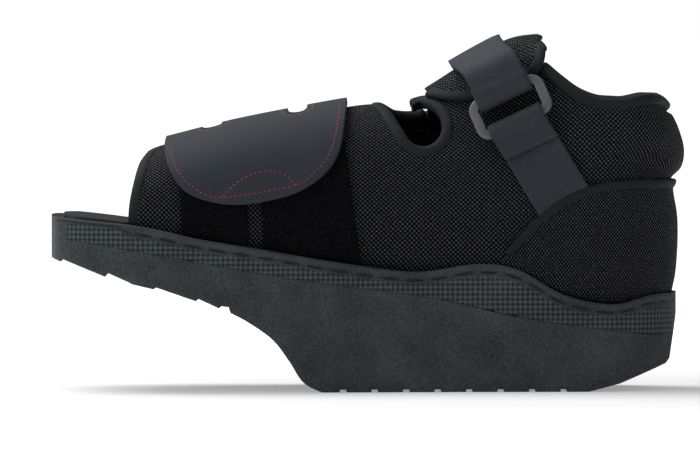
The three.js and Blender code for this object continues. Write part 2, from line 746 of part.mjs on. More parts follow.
/** A tape that lies flat on the knit, clear of the tapes that it passes. */
function flatTape(name) {
  const flatLayer = layer([CLEARANCE, CLEARANCE + 2 * tapeRadii[name]]);
  return mainBody(besideTapes(tape(name).intersect(flatLayer), 'throat_binding', 'collar_binding'));
}

// Overlays of the upper

function heelCounter() {
  const lowLine = readLine(rimZ, COUNTER_EDGE.at(-1).x, COUNTER_EDGE[0].x + COUNTER_TIP, EDGE_STEPS);
  const body = layer(COUNTER_LAYER).intersect(prism([...counterLine, ...lifted(lowLine, RIM_GAP)]));
  return mainBody(besideTapes(body, 'heel_counter_binding'));
}

/** A loop panel on the near side, between two slanted edges and down to the rim. */
function loopPanel(panel) {
  const low = lifted(readLine(rimZ, panel.lowFront, panel.lowBack, SHORT_STEPS), RIM_GAP);
  const outline = [...low, flat(panel.highBack, panel.topBack), flat(panel.highFront, panel.topFront)];
  return mainBody(layer(PANEL_LAYER).intersect(prism(outline, -BEYOND, 0)));
}

/** A round-ended slot across the crest, as a column cut down through the strap. */
function slotCut(place) {
  const radius = SLOT.width / 2;
  const shape = new THREE.Shape();
  shape.absarc(place.x, SLOT.reach - radius, radius, 0, Math.PI);
  shape.absarc(place.x, radius - SLOT.reach, radius, Math.PI, Math.PI * 2);
  const options = { depth: HIGH, bevelEnabled: false, curveSegments: SHORT_STEPS };
  const geometry = new THREE.ExtrudeGeometry(shape, options);
  geometry.translate(0, 0, SLOT.floorZ);
  return solid(geometry);
}

function forefootStrap() {
  const near = closedTo(sideLine(FLAP_EDGE, EDGE_STEPS), HIGH);
  const low = lifted(readLine(rimZ, STRAP_FAR.lowFront, STRAP_FAR.lowBack, SHORT_STEPS), RIM_GAP);
  const [front, back] = [FLAP_EDGE[0], FLAP_EDGE.at(-1)];
  const far = [...low, flat(back.x, back.z), flat(back.x, HIGH), flat(front.x, HIGH), flat(front.x, front.z)];
  const whole = layer(STRAP_LAYER).intersect(twoSided(near, far));
  return mainBody(SLOTS.reduce((body, place) => body.subtract(slotCut(place)), whole));
}

function instepFlap() {
  const close = (rows) => closedTo(rows.map((row) => flat(row.x, row.z)), HIGH);
  const body = layer(FLAP_LAYER).intersect(twoSided(close(INSTEP_NEAR), close(INSTEP_FAR)));
  return mainBody(besideTapes(body, 'throat_binding', 'collar_binding', 'instep_flap_binding'));
}

// Ring buckle and webbing

/** A long bar's middle in space: a side-view offset from the ring's middle, held off the wall. */
function barPoint(along, up, grow) {
  const x = RING.x + along * ALONG_X - up * ALONG_Z;
  const z = RING.z + along * ALONG_Z + up * ALONG_X;
  return new THREE.Vector3(x, -wallY(x, z, grow), z);
}

/** The ring's own frame, from the places of its two long bars on the curved wall. */
function ringFrame() {
  const reach = WEBBING_WIDTH / 2;
  const [upLeft, upRight] = [-reach, reach].map((along) => barPoint(along, BAR_UP, UPPER_GROW));
  const [lowLeft, lowRight] = [-reach, reach].map((along) => barPoint(along, -BAR_UP, LOWER_GROW));
  const corners = [upLeft, upRight, lowLeft, lowRight];
  const middle = corners.reduce((sum, corner) => sum.add(corner), new THREE.Vector3());
  middle.divideScalar(corners.length);
  const along = upRight.clone().sub(upLeft).add(lowRight).sub(lowLeft).normalize();
  const up = upLeft.clone().add(upRight).sub(lowLeft).sub(lowRight);
  up.addScaledVector(along, -up.dot(along)).normalize();
  const out = along.clone().cross(up);
  return new THREE.Matrix4().makeBasis(along, up, out).setPosition(middle);
}

/** A rounded rectangle added to a shape or a hole. */
function roundedPath(path, length, height, radius) {
  const [x, y] = [length / 2 - radius, height / 2 - radius];
  const quarter = Math.PI / 2;
  path.absarc(x, -y, radius, -quarter, 0);
  path.absarc(x, y, radius, 0, quarter);
  path.absarc(-x, y, radius, quarter, 2 * quarter);
  path.absarc(-x, -y, radius, 2 * quarter, 3 * quarter);
  return path;
}

/** The ring buckle, grown by a distance for the room it needs. */
function ring(grow = 0) {
  const outer = [RING.length + 2 * grow, RING.height + 2 * grow, RING.corner + grow];
  const shape = roundedPath(new THREE.Shape(), ...outer);
  const thick = 2 * (RING.bar + grow);
  const inner = [RING.length - thick, RING.height - thick, RING.hole];
  shape.holes.push(roundedPath(new THREE.Path(), ...inner));
  const depth = RING.bar + 2 * grow;
  const geometry = new THREE.ExtrudeGeometry(shape, {
    depth: depth - 2 * RING.bevel,
    bevelThickness: RING.bevel,
    bevelSize: RING.bevel,
    bevelOffset: -RING.bevel,
    bevelSegments: 1,
    curveSegments: SHORT_STEPS / 2,
  });
  geometry.translate(0, 0, RING.bevel - depth / 2);
  geometry.applyMatrix4(ringFrame());
  return solid(geometry);
}

/** A webbing loop round the ring's upper bar, side 1, or its lower bar, side -1. */
function barLoop(side) {
  const section = new THREE.Shape();
  section.absarc(0, 0, RING.bar / 2 + BAR_GAP + WEBBING_THICK, 0, Math.PI * 2);
  const options = { depth: WEBBING_WIDTH, bevelEnabled: false, curveSegments: SHORT_STEPS };
  const geometry = new THREE.ExtrudeGeometry(section, options);
  geometry.translate(0, 0, -WEBBING_WIDTH / 2);
  geometry.rotateY(Math.PI / 2);
  geometry.translate(0, side * BAR_UP, 0);
  geometry.applyMatrix4(ringFrame());
  return solid(geometry);
}

/** A webbing band in side view through places of the middle line. */
function band(rows) {
  const shift = (row, side) => flat(
    row.x + (side * ALONG_X * WEBBING_WIDTH) / 2,
    row.z + (side * ALONG_Z * WEBBING_WIDTH) / 2,
  );
  const right = rows.map((row) => shift(row, 1));
  const left = rows.map((row) => shift(row, -1)).reverse();
  return [...right, ...left];
}

/** Everything clear above the tape of the heel overlay. */
function aboveCounter() {
  const line = lifted(counterLine, COUNTER_TAPE_RADIUS + CLEARANCE + RIM_GAP);
  return prism(closedTo([flat(GROUND_FRONT, line[0].y), ...line], HIGH));
}

/** A strap joined to its loop, clear of what lies under it and of the ring. */
function looped(strap, side, under) {
  const whole = strap.add(barLoop(side)).subtract(form(() => under));
  return mainBody(whole.subtract(ring(CLEARANCE)));
}

function ankleStrap() {
  const { above, crest, ring: atRing, below, heel } = WEBBING_LINE;
  const outline = twoSided(band([above, crest, atRing]), band([above, crest, atRing, below, heel]));
  const strap = layer(OVER_FLAP_LAYER).intersect(outline).intersect(aboveCounter());
  return looped(strap, 1, OVER_FLAP_LAYER[0]);
}

function anchorStrap() {
  const start = { x: RING.x + BAR_UP * ALONG_Z, z: RING.z - BAR_UP * ALONG_X };
  const outline = prism(band([start, WEBBING_LINE.below, WEBBING_LINE.heel]), -BEYOND, 0);
  const strap = layer(WEBBING_LAYER).intersect(outline).intersect(aboveCounter());
  return looped(strap, -1, CLEARANCE);
}

// Assembly

const group = new THREE.Group();

/** A solid as a named mesh of the shoe, with its own material. */
function addPiece(name, body, finish) {
  const mesh = new THREE.Mesh(surface(body), new THREE.MeshStandardMaterial(finish));
  mesh.name = name;
  group.add(mesh);
}

addPiece('sole', sole(), FINISH.sole);
addPiece('insole', insole(), FINISH.tape);
addPiece('upper', upper(), FINISH.knit);
addPiece('toe_binding', tape('toe_binding'), FINISH.tape);
addPiece('throat_binding', tape('throat_binding'), FINISH.tape);
addPiece('collar_binding', tape('collar_binding'), FINISH.tape);
addPiece('heel_counter_binding', flatTape('heel_counter_binding'), FINISH.tape);
addPiece('instep_flap_binding', flatTape('instep_flap_binding'), FINISH.tape);
for (const [name, panel] of Object.entries(PANELS)) addPiece(name, loopPanel(panel), FINISH.loop);
addPiece('forefoot_strap', forefootStrap(), FINISH.leather);
addPiece('heel_counter', heelCounter(), FINISH.knit);
addPiece('instep_flap', instepFlap(), FINISH.knit);
addPiece('ankle_strap', ankleStrap(), FINISH.webbing);
addPiece('anchor_strap', anchorStrap(), FINISH.webbing);
addPiece('buckle_ring', ring(), FINISH.plastic);

export default group;
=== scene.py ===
"""Dressed model of a forefoot offloading shoe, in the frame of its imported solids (metres, +Z up)."""
from __future__ import annotations

import logging
import math
from dataclasses import dataclass, field
from enum import Enum
from typing import Callable, Iterable, Sequence

import bmesh
import bpy
import numpy as np
from mathutils import Matrix, Vector

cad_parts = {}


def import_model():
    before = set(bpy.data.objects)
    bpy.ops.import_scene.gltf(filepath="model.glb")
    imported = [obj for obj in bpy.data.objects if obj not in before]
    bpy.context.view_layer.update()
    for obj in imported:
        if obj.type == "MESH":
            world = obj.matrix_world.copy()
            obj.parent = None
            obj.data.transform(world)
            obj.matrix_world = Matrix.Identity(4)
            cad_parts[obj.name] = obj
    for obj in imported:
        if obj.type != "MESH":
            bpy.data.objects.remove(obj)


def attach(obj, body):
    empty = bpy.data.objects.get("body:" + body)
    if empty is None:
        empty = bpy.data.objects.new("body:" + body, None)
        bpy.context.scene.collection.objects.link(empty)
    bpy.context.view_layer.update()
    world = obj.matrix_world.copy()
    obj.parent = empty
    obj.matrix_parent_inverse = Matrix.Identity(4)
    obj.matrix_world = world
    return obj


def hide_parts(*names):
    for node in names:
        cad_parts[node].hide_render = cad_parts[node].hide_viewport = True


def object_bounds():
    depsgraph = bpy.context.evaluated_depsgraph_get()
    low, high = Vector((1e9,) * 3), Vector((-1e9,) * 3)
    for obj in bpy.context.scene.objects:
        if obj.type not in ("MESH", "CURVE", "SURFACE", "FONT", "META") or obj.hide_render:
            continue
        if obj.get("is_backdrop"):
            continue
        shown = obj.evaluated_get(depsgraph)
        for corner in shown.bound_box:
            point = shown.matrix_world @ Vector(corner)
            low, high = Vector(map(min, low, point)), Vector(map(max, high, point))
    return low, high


LOG = logging.getLogger("shoe")
# Lengths are in millimetres until MM makes them metres
MM = 0.001
GAP = 0.35
TAU = 2.0 * math.pi
SHOE_MIDDLE = (20.0, 0.0, 70.0)
ANKLE_MIDDLE = (50.0, 0.0, 110.0)
BELOW_SOLE = (0.0, 0.0, -400.0)
TINY = 1e-9
HALVINGS = 40
FINE_STEPS = 1601
UPPER_KNIT = (2.05, 1.0)
CURVE_STEPS = 14
Point2 = tuple[float, float]


class Slot(Enum):
    """Names of the material slots of the shoe's pieces."""

    SOLE = "sole_foam"
    INSOLE = "insole_cloth"
    KNIT = "knit"
    COUNTER = "counter_knit"
    TAPE = "tape"
    PILE = "loop_pile"
    LEATHER = "strap_leather"
    WEBBING = "webbing"
    RING = "ring_plastic"


# Curves and the foot form


def spline(values: Sequence[float], share: np.ndarray) -> np.ndarray:
    """Read an even Catmull-Rom curve through values.

    Args:
        values: the numbers that the curve passes through.
        share: places along it, from 0 to 1.

    Returns:
        The curve's value at each place.
    """
    row = np.asarray(values, dtype=float)
    place = np.clip(np.asarray(share, dtype=float), 0.0, 1.0) * (len(row) - 1)
    start = np.minimum(place.astype(int), len(row) - 2)
    t = place - start
    before = row[np.maximum(start - 1, 0)]
    here = row[start]
    after = row[start + 1]
    beyond = row[np.minimum(start + 2, len(row) - 1)]
    slope_in = 0.5 * (after - before)
    slope_out = 0.5 * (beyond - here)
    cubic = (2 * here - 2 * after + slope_in + slope_out) * t**3
    square = (-3 * here + 3 * after - 2 * slope_in - slope_out) * t**2
    return cubic + square + slope_in * t + here


def smooth_line(points: Sequence[Point2], count: int) -> np.ndarray:
    """Sample a smooth side-view line through points, as rows of x and z.

    Args:
        points: rows of x and z in millimetres.
        count: how many samples.

    Returns:
        Rows of x and z.
    """
    share = np.linspace(0.0, 1.0, count)
    columns = np.asarray(points, dtype=float)
    return np.stack([spline(columns[:, 0], share), spline(columns[:, 1], share)], axis=1)


def height_reader(points: Sequence[Point2]) -> Callable[[np.ndarray], np.ndarray]:
    """Make a reader of a smooth line's height at a place along the shoe.

    Args:
        points: rows of x and z in millimetres.

    Returns:
        A function from places to heights.
    """
    line = smooth_line(points, len(points) * CURVE_STEPS)
    return lambda x: np.interp(x, line[:, 0], line[:, 1])


def inside(outline: np.ndarray, x: np.ndarray, z: np.ndarray) -> np.ndarray:
    """Tell which side-view points lie inside a closed outline.

    Args:
        outline: corners of the outline, as rows of x and z.
        x: places along the shoe, in millimetres.
        z: heights, in millimetres.

    Returns:
        Which points lie inside.
    """
    result = np.zeros(np.shape(x), dtype=bool)
    for (x0, z0), (x1, z1) in zip(outline, np.roll(outline, -1, axis=0)):
        spans = (z0 > z) != (z1 > z)
        rise = z1 - z0 if z1 != z0 else TINY
        result ^= spans & (x < (x1 - x0) * (z - z0) / rise + x0)
    return result


def unit(rows: np.ndarray) -> np.ndarray:
    """Scale vectors to length one.

    Args:
        rows: the vectors.

    Returns:
        The scaled vectors.
    """
    return rows / np.maximum(np.linalg.norm(rows, axis=-1, keepdims=True), TINY)


def run_along(points: np.ndarray) -> np.ndarray:
    """Measure the distance from the first of a row of points to each of them.

    Args:
        points: the row of points.

    Returns:
        Distances along the row.
    """
    step = np.linalg.norm(np.diff(points, axis=0), axis=1)
    return np.concatenate([[0.0], np.cumsum(step)])


def part(value: np.ndarray, start: float, length: float) -> np.ndarray:
    """Tell how far values are on the way from a start, held between 0 and 1.

    Args:
        value: the values.
        start: where the way starts.
        length: its length, below 0 where it runs backwards.

    Returns:
        Shares of the way.
    """
    return np.clip((value - start) / length, 0.0, 1.0)


def smooth_share(share: np.ndarray) -> np.ndarray:
    """Ease the start and the end of a share.

    Args:
        share: shares from 0 to 1.

    Returns:
        The eased shares.
    """
    return share * share * (3.0 - 2.0 * share)


def rounded(spin: np.ndarray, power: float) -> tuple[np.ndarray, np.ndarray]:
    """Draw a rounded square of half-width 1.

    Args:
        spin: turns round it.
        power: its roundness, squarer when low.

    Returns:
        Both coordinates at each turn.
    """
    wide, high = np.cos(spin), np.sin(spin)
    return np.sign(wide) * np.abs(wide) ** power, np.sign(high) * np.abs(high) ** power


def bisect(low: np.ndarray, high: np.ndarray, before: Callable[[np.ndarray], np.ndarray]) -> np.ndarray:
    """Find by halving where a test turns from true to false.

    Args:
        low: places where it is true.
        high: places where it is false.
        before: the test.

    Returns:
        The last places where it is true.
    """
    for _ in range(HALVINGS):
        middle = (low + high) / 2.0
        under = before(middle)
        low, high = np.where(under, middle, low), np.where(under, high, middle)
    return low


@dataclass(frozen=True)
class FootForm:
    """The foot-shaped form that every layer of the shoe follows.

    Each section runs from a sole or heel point to a crest or shin point. Sizes are millimetres.
    """

    sections: tuple[tuple[float, ...], ...] = (
        # heel x, heel z, crest x, crest z, half-width, squareness low, squareness high
        (-116, 58, -116, 102, 46.0, 3.2, 2.5),
        (-92, 56, -90, 107.5, 48.0, 3.2, 2.5),
        (-62, 52, -60, 115.0, 48.5, 3.2, 2.4),
        (-30, 46, -30, 121.0, 46.0, 3.2, 2.2),
        (0, 40, -6, 125.2, 43.0, 3.0, 2.1),
        (30, 33, 10, 126.3, 40.0, 3.0, 2.1),
        (60, 27, 22, 128.5, 38.5, 3.0, 2.1),
        (90, 22, 31, 133.5, 37.5, 3.0, 2.1),
        (116, 25, 38, 138.0, 36.5, 2.8, 2.1),
        (129, 36, 43, 141.0, 36.0, 2.5, 2.1),
        (133.5, 48, 47, 143.4, 36.0, 2.3, 2.1),
        (135, 62, 51, 145.7, 36.0, 2.2, 2.1),
        (135, 76, 54, 147.5, 36.0, 2.2, 2.1),
        (133.2, 88, 57, 149.2, 35.6, 2.2, 2.1),
        (134.2, 93.2, 59, 150.3, 36.0, 2.2, 2.1),
        (138.4, 98, 61, 151.4, 37.2, 2.2, 2.1),
        (139.9, 105, 64, 152.6, 38.0, 2.2, 2.1),
        (138.8, 112, 67, 153.4, 37.8, 2.2, 2.1),
        (135.5, 120, 71, 154.0, 37.0, 2.2, 2.1),
        (129, 128, 76, 154.4, 36.0, 2.2, 2.1),
        (120, 138, 84, 154.8, 35.0, 2.2, 2.1),
    )
    widest_at: float = 0.42

    def rows(self, u: np.ndarray) -> list[np.ndarray]:
        """Read every column of the section table at shares u of the way from toe to collar."""
        return [spline(column, u) for column in zip(*self.sections)]

    def half_width(self, t: np.ndarray, half: np.ndarray, low: np.ndarray, high: np.ndarray) -> np.ndarray:
        """Half-width at share t of a section, from its sole end to its crest end.

        Args:
            t: shares of the way from the sole end.
            half: greatest half-widths.
            low: squareness of the lower part.
            high: squareness of the upper part.

        Returns:
            Half-widths in millimetres.
        """
        below = np.clip((self.widest_at - t) / self.widest_at, 0.0, 1.0)
        above = np.clip((t - self.widest_at) / (1.0 - self.widest_at), 0.0, 1.0)
        under = (1.0 - below**low) ** (1.0 / low)
        over = (1.0 - above**high) ** (1.0 / high)
        return half * np.where(t < self.widest_at, under, over)

    def point(self, u: np.ndarray, angle: np.ndarray, grow: np.ndarray | float = 0.0) -> np.ndarray:
        """Points of the form, grown outwards.

        Args:
            u: share of the way from toe to collar.
            angle: turn round the section: 0 at the sole or heel, pi at the crest, near side beyond pi.
            grow: distance outside the knitted wall, in millimetres.

        Returns:
            Rows of x, y and z in millimetres.
        """
        bx, bz, cx, cz, half, low, high = self.rows(u)
        length = np.hypot(cx - bx, cz - bz)
        ex, ez = (cx - bx) / length, (cz - bz) / length
        t = (1.0 - np.cos(angle)) / 2.0
        y = np.sign(np.sin(angle)) * self.half_width(t, half + grow, low, high)
        reach = t * (length + 2.0 * grow) - grow
        return np.stack([bx + ex * reach, y, bz + ez * reach], axis=-1)

    def locate(self, x: np.ndarray, z: np.ndarray, near: bool = True,
               grow: np.ndarray | float = 0.0) -> tuple[np.ndarray, np.ndarray]:
        """Find the section share and angle of side-view places.

        Args:
            x: places along the shoe.
            z: heights.
            near: whether the place is on the buckle side.
            grow: distance of the layer outside the knitted wall, in millimetres.

        Returns:
            The shares u and the angles.
        """
        x, z = np.asarray(x, dtype=float), np.asarray(z, dtype=float)

        def before(share: np.ndarray) -> np.ndarray:
            """Tell which places lie beyond the section at a share."""
            bx, bz, cx, cz = self.rows(share)[:4]
            return (cx - bx) * (z - bz) - (cz - bz) * (x - bx) < 0.0

        u = bisect(np.zeros_like(x), np.ones_like(x), before)
        bx, bz, cx, cz = self.rows(u)[:4]
        length = np.hypot(cx - bx, cz - bz)
        reach = ((x - bx) * (cx - bx) + (z - bz) * (cz - bz)) / length
        t = (reach + grow) / (length + 2.0 * grow)
        turn = np.arccos(1.0 - 2.0 * np.clip(t, 0.0, 1.0))
        return u, (TAU - turn if near else turn)

    def normal(self, u: np.ndarray, angle: np.ndarray) -> np.ndarray:
        """Outward unit normals of the form.

        Args:
            u: section shares from toe to collar.
            angle: section angles.

        Returns:
            Rows of unit vectors.
        """
        step = 1e-3
        along = self.point(u + step, angle) - self.point(u - step, angle)
        around = self.point(u, angle + step) - self.point(u, angle - step)
        cross = unit(np.cross(along, around))
        lean = self.point(u, angle, 1.0) - self.point(u, angle)
        flip = np.sign(np.sum(cross * lean, axis=-1, keepdims=True))
        return cross * np.where(flip == 0, 1.0, flip)


FORM = FootForm()


@dataclass(frozen=True)
class SideLines:
    """Lines of the shoe seen from the side, in millimetres."""

    rim: tuple[Point2, ...] = (
        (-150, 78.5), (-103, 73.5), (-74, 67.5), (-45, 62.7), (-15, 57.5), (20, 53.0), (48, 56.3),
        (66, 53.8), (86, 42.8), (108, 38.5), (126, 42.6), (150, 43.4),
    )
    floor: tuple[Point2, ...] = (
        (-150, 77.0), (-103, 71.2), (-74, 64.0), (-15, 53.2), (20, 46.5), (60, 39.5), (105, 33.5),
        (150, 33.0),
    )
    toe: tuple[Point2, ...] = (
        (-103, 60), (-102.4, 80), (-100.2, 92), (-97.5, 100.5), (-93.2, 105.0), (-89.6, 107.2),
    )
    collar: tuple[Point2, ...] = (
        (15, 127.0), (40, 135.0), (62, 140.5), (77, 142.5), (84, 136.4), (92, 130.6), (101, 127.0),
        (110, 126.2), (120, 127.6), (127, 127.4), (133, 123.4), (150, 112),
    )
    counter: tuple[Point2, ...] = (
        (57.5, 56.5), (68, 67.6), (75.4, 75.2), (84, 81.8), (94, 87.0), (105, 90.0), (117, 91.2),
        (127, 91.0), (145, 89.0),
    )
    flap: tuple[Point2, ...] = (
        (-86.5, 116), (-89.2, 107), (-87.0, 97), (-80.5, 88.3), (-70.5, 84.0), (-58.5, 82.4),
        (-45.5, 83.8), (-31.3, 87.6), (-19.5, 95.2), (-12.8, 105), (-10.2, 118), (-8.5, 132),
    )


LINES = SideLines()
rim_z = height_reader(LINES.rim)
floor_z = height_reader(LINES.floor)


# Mesh making


class Patch:
    """A grid made by an operator, laid over a surface, trimmed and turned into an object."""

    def __init__(self, columns: int, rows: int) -> None:
        """Start from a flat grid whose corners run from 0 to 1 both ways.

        Args:
            columns: faces along the first way.
            rows: faces along the second way.
        """
        self.bm = bmesh.new()
        bmesh.ops.create_grid(self.bm, x_segments=columns, y_segments=rows, size=1.0)
        self.bm.verts.ensure_lookup_table()
        flat = np.array([vert.co[:2] for vert in self.bm.verts])
        self.a, self.b = (flat[:, 0] + 1.0) / 2.0, (flat[:, 1] + 1.0) / 2.0

    def lay(self, points: np.ndarray) -> "Patch":
        """Place the corners at points in millimetres.

        Args:
            points: rows of x, y and z in millimetres.

        Returns:
            The laid patch.
        """
        for vert, point in zip(self.bm.verts, points):
            vert.co = Vector(point) * MM
        return self

    def weave_map(self, cloth: np.ndarray) -> "Patch":
        """Give each corner its place on the cloth, in millimetres.

        Args:
            cloth: place of each corner.

        Returns:
            The patch.
        """
        layer = self.bm.loops.layers.uv.new("UVMap")
        self.bm.verts.index_update()
        for face in self.bm.faces:
            for loop in face.loops:
                loop[layer].uv = cloth[loop.vert.index]
        return self

    def keep(self, test: Callable[[np.ndarray], np.ndarray]) -> "Patch":
        """Delete the faces whose middle, in millimetres, fails a test.

        Args:
            test: tells from face middles which faces stay.

        Returns:
            The patch.
        """
        faces = list(self.bm.faces)
        middles = np.array([face.calc_center_median() for face in faces]) / MM
        gone = [face for face, stays in zip(faces, test(middles)) if not stays]
        bmesh.ops.delete(self.bm, geom=gone, context="FACES")
        return self

    def snap(self, line: np.ndarray, grow: float, near: bool = True, reach: float = 1.6) -> "Patch":
        """Draw the edge corners that lie close to a side-view line onto it.

        Args:
            line: rows of x and z in millimetres.
            grow: layer of the foot form that the patch lies on.
            near: whether the line is on the buckle side.
            reach: how far a corner may be from the line.

        Returns:
            The patch.
        """
        edge = [vert for vert in self.bm.verts if vert.is_boundary and (vert.co.y < 0) == near]
        if not edge:
            return self
        places = np.array([vert.co for vert in edge]) / MM
        best, shortest = places[:, [0, 2]].copy(), np.full(len(edge), np.inf)
        for start, end in zip(line[:-1], line[1:]):
            run = end - start
            share = np.clip(((places[:, [0, 2]] - start) @ run) / max(run @ run, TINY), 0.0, 1.0)
            spot = start + share[:, None] * run
            away = np.linalg.norm(places[:, [0, 2]] - spot, axis=1)
            closer = away < shortest
            best[closer], shortest[closer] = spot[closer], away[closer]
        u, angle = FORM.locate(best[:, 0], best[:, 1], grow=grow)
        laid = FORM.point(u, angle, grow)
        laid[:, 1] = np.where(places[:, 1] < 0, -1.0, 1.0) * np.abs(laid[:, 1])
        close = (shortest < reach) & (np.linalg.norm(laid - places, axis=1) < 2.0 * reach)
        for vert, point, drawn in zip(edge, laid, close):
            if drawn:
                vert.co = Vector(point) * MM
        return self

    def soften(self, rounds: int = 5) -> "Patch":
        """Ease the steps along a trimmed edge by drawing each edge corner towards its neighbours.

        Args:
            rounds: how many times the edge is eased.

        Returns:
            The patch.
        """
        edge = [vert for vert in self.bm.verts if vert.is_boundary]
        beside = {vert: [e.other_vert(vert) for e in vert.link_edges if e.is_boundary] for vert in edge}
        for _ in range(rounds):
            pairs = [(vert, *others) for vert, others in beside.items() if len(others) == 2]
            eased = [(vert.co * 2.0 + before.co + after.co) / 4.0 for vert, before, after in pairs]
            for (vert, *_), place in zip(pairs, eased):
                vert.co = place
        return self

    def finish(self, name: str, material: bpy.types.Material, merge: float = 0.02) -> bpy.types.Object:
        """Close doubled corners, turn the faces outwards and make a smooth object.

        Args:
            name: name of the new object.
            material: its finish.
            merge: distance within which corners are joined, in millimetres.

        Returns:
            The new object.
        """
        bmesh.ops.remove_doubles(self.bm, verts=self.bm.verts, dist=merge * MM)
        loose = [vert for vert in self.bm.verts if not vert.link_faces]
        bmesh.ops.delete(self.bm, geom=loose, context="VERTS")
        bmesh.ops.recalc_face_normals(self.bm, faces=self.bm.faces)
        return make_object(name, self.bm, material)


def make_object(name: str, bm: bmesh.types.BMesh, material: bpy.types.Material) -> bpy.types.Object:
    """Turn a bmesh into a smooth-shaded object with one material.

    Args:
        name: name of the new object.
        bm: the finished mesh, which is freed.
        material: its finish.

    Returns:
        The new object.
    """
    mesh = bpy.data.meshes.new(name)
    bm.to_mesh(mesh)
    bm.free()
    mesh.polygons.foreach_set("use_smooth", [True] * len(mesh.polygons))
    mesh.materials.append(material)
    obj = bpy.data.objects.new(name, mesh)
    bpy.context.scene.collection.objects.link(obj)
    return obj


def face_outwards(obj: bpy.types.Object, centre: tuple[float, float, float]) -> None:
    """Turn an open sheet's faces away from a point inside the shoe, in millimetres.

    Args:
        obj: the piece.
        centre: a point inside the shoe, in millimetres.
    """
    bm = bmesh.new()
    bm.from_mesh(obj.data)
    middle = Vector(centre) * MM
    lean = sum((f.calc_center_median() - middle).dot(f.normal) * f.calc_area() for f in bm.faces)
    if lean < 0:
        bmesh.ops.reverse_faces(bm, faces=bm.faces)
    bm.to_mesh(obj.data)
    bm.free()


def thicken(obj: bpy.types.Object, thick: float, outwards: bool) -> None:
    """Give a sheet its wall with a Solidify modifier, in millimetres.

    Args:
        obj: the piece.
        thick: wall thickness in millimetres.
        outwards: whether the wall grows away from the shoe.
    """
    wall = obj.modifiers.new("wall", "SOLIDIFY")
    wall.thickness = thick * MM
    wall.offset = 1.0 if outwards else -1.0
    wall.use_even_offset = False


def settle(obj: bpy.types.Object, slot: Slot, *nodes: str) -> None:
    """Fix a piece to the shoe and hide the solids that it stands for.

    Args:
        obj: the piece.
        slot: its material slot; not used.
        nodes: solids that the piece stands for.
    """
    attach(obj, "root")
    if nodes:
        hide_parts(*nodes)
    LOG.info("%s: %d faces", obj.name, len(obj.data.polygons))


@dataclass(frozen=True)
class Cut:
    """Flat size of a cloth piece before it was sewn on, in millimetres, and its area if not a rectangle."""

    width: float
    length: float
    area: float | None = None

    def declare(self, obj: bpy.types.Object, rests_on: str) -> None:
        """Work out the sheet's flat size, and its area if given, in metres.

        Args:
            obj: the piece; not used.
            rests_on: the piece under it; not used.
        """
        shape = {"area": self.area * MM * MM} if self.area else {}
        flat = (self.width * MM, self.length * MM)


# Finishes


def linear(red: int, green: int, blue: int) -> tuple[float, float, float, float]:
    """Turn a display colour of 0 to 255 into a shader colour.

    Args:
        red: red channel.
        green: green channel.
        blue: blue channel.

    Returns:
        Linear colour with alpha.
    """
    channels = [value / 255.0 for value in (red, green, blue)]
    light = [c / 12.92 if c <= 0.04045 else ((c + 0.055) / 1.055) ** 2.4 for c in channels]
    return (*light, 1.0)


class Value:
    """A shader number that Python's operators turn into Math nodes."""

    def __init__(self, shader: "Shader", socket: bpy.types.NodeSocket) -> None:
        """Wrap an output socket of a shader."""
        self.shader = shader
        self.socket = socket

    def _math(self, operation: str, first: object, second: object = 0.0) -> "Value":
        """Add one Math node."""
        return self.shader.node("ShaderNodeMath", {"operation": operation}, {0: first, 1: second})

    def __add__(self, other: object) -> "Value":
        """Sum."""
        return self._math("ADD", self, other)

    __radd__ = __add__

    def __sub__(self, other: object) -> "Value":
        """Difference."""
        return self._math("SUBTRACT", self, other)

    def __rsub__(self, other: object) -> "Value":
        """Reflected difference."""
        return self._math("SUBTRACT", other, self)

    def __mul__(self, other: object) -> "Value":
        """Product."""
        return self._math("MULTIPLY", self, other)

    __rmul__ = __mul__

    def sin(self) -> "Value":
        """Sine."""
        return self._math("SINE", self)

    def abs(self) -> "Value":
        """Size without sign."""
        return self._math("ABSOLUTE", self)

    def ramp(self, low: float, high: float) -> "Value":
        """Smooth step from 0 at low to 1 at high."""
        settings = {"interpolation_type": "SMOOTHSTEP"}
        return self.shader.node("ShaderNodeMapRange", settings, {0: self, 1: low, 2: high, 3: 0.0, 4: 1.0})


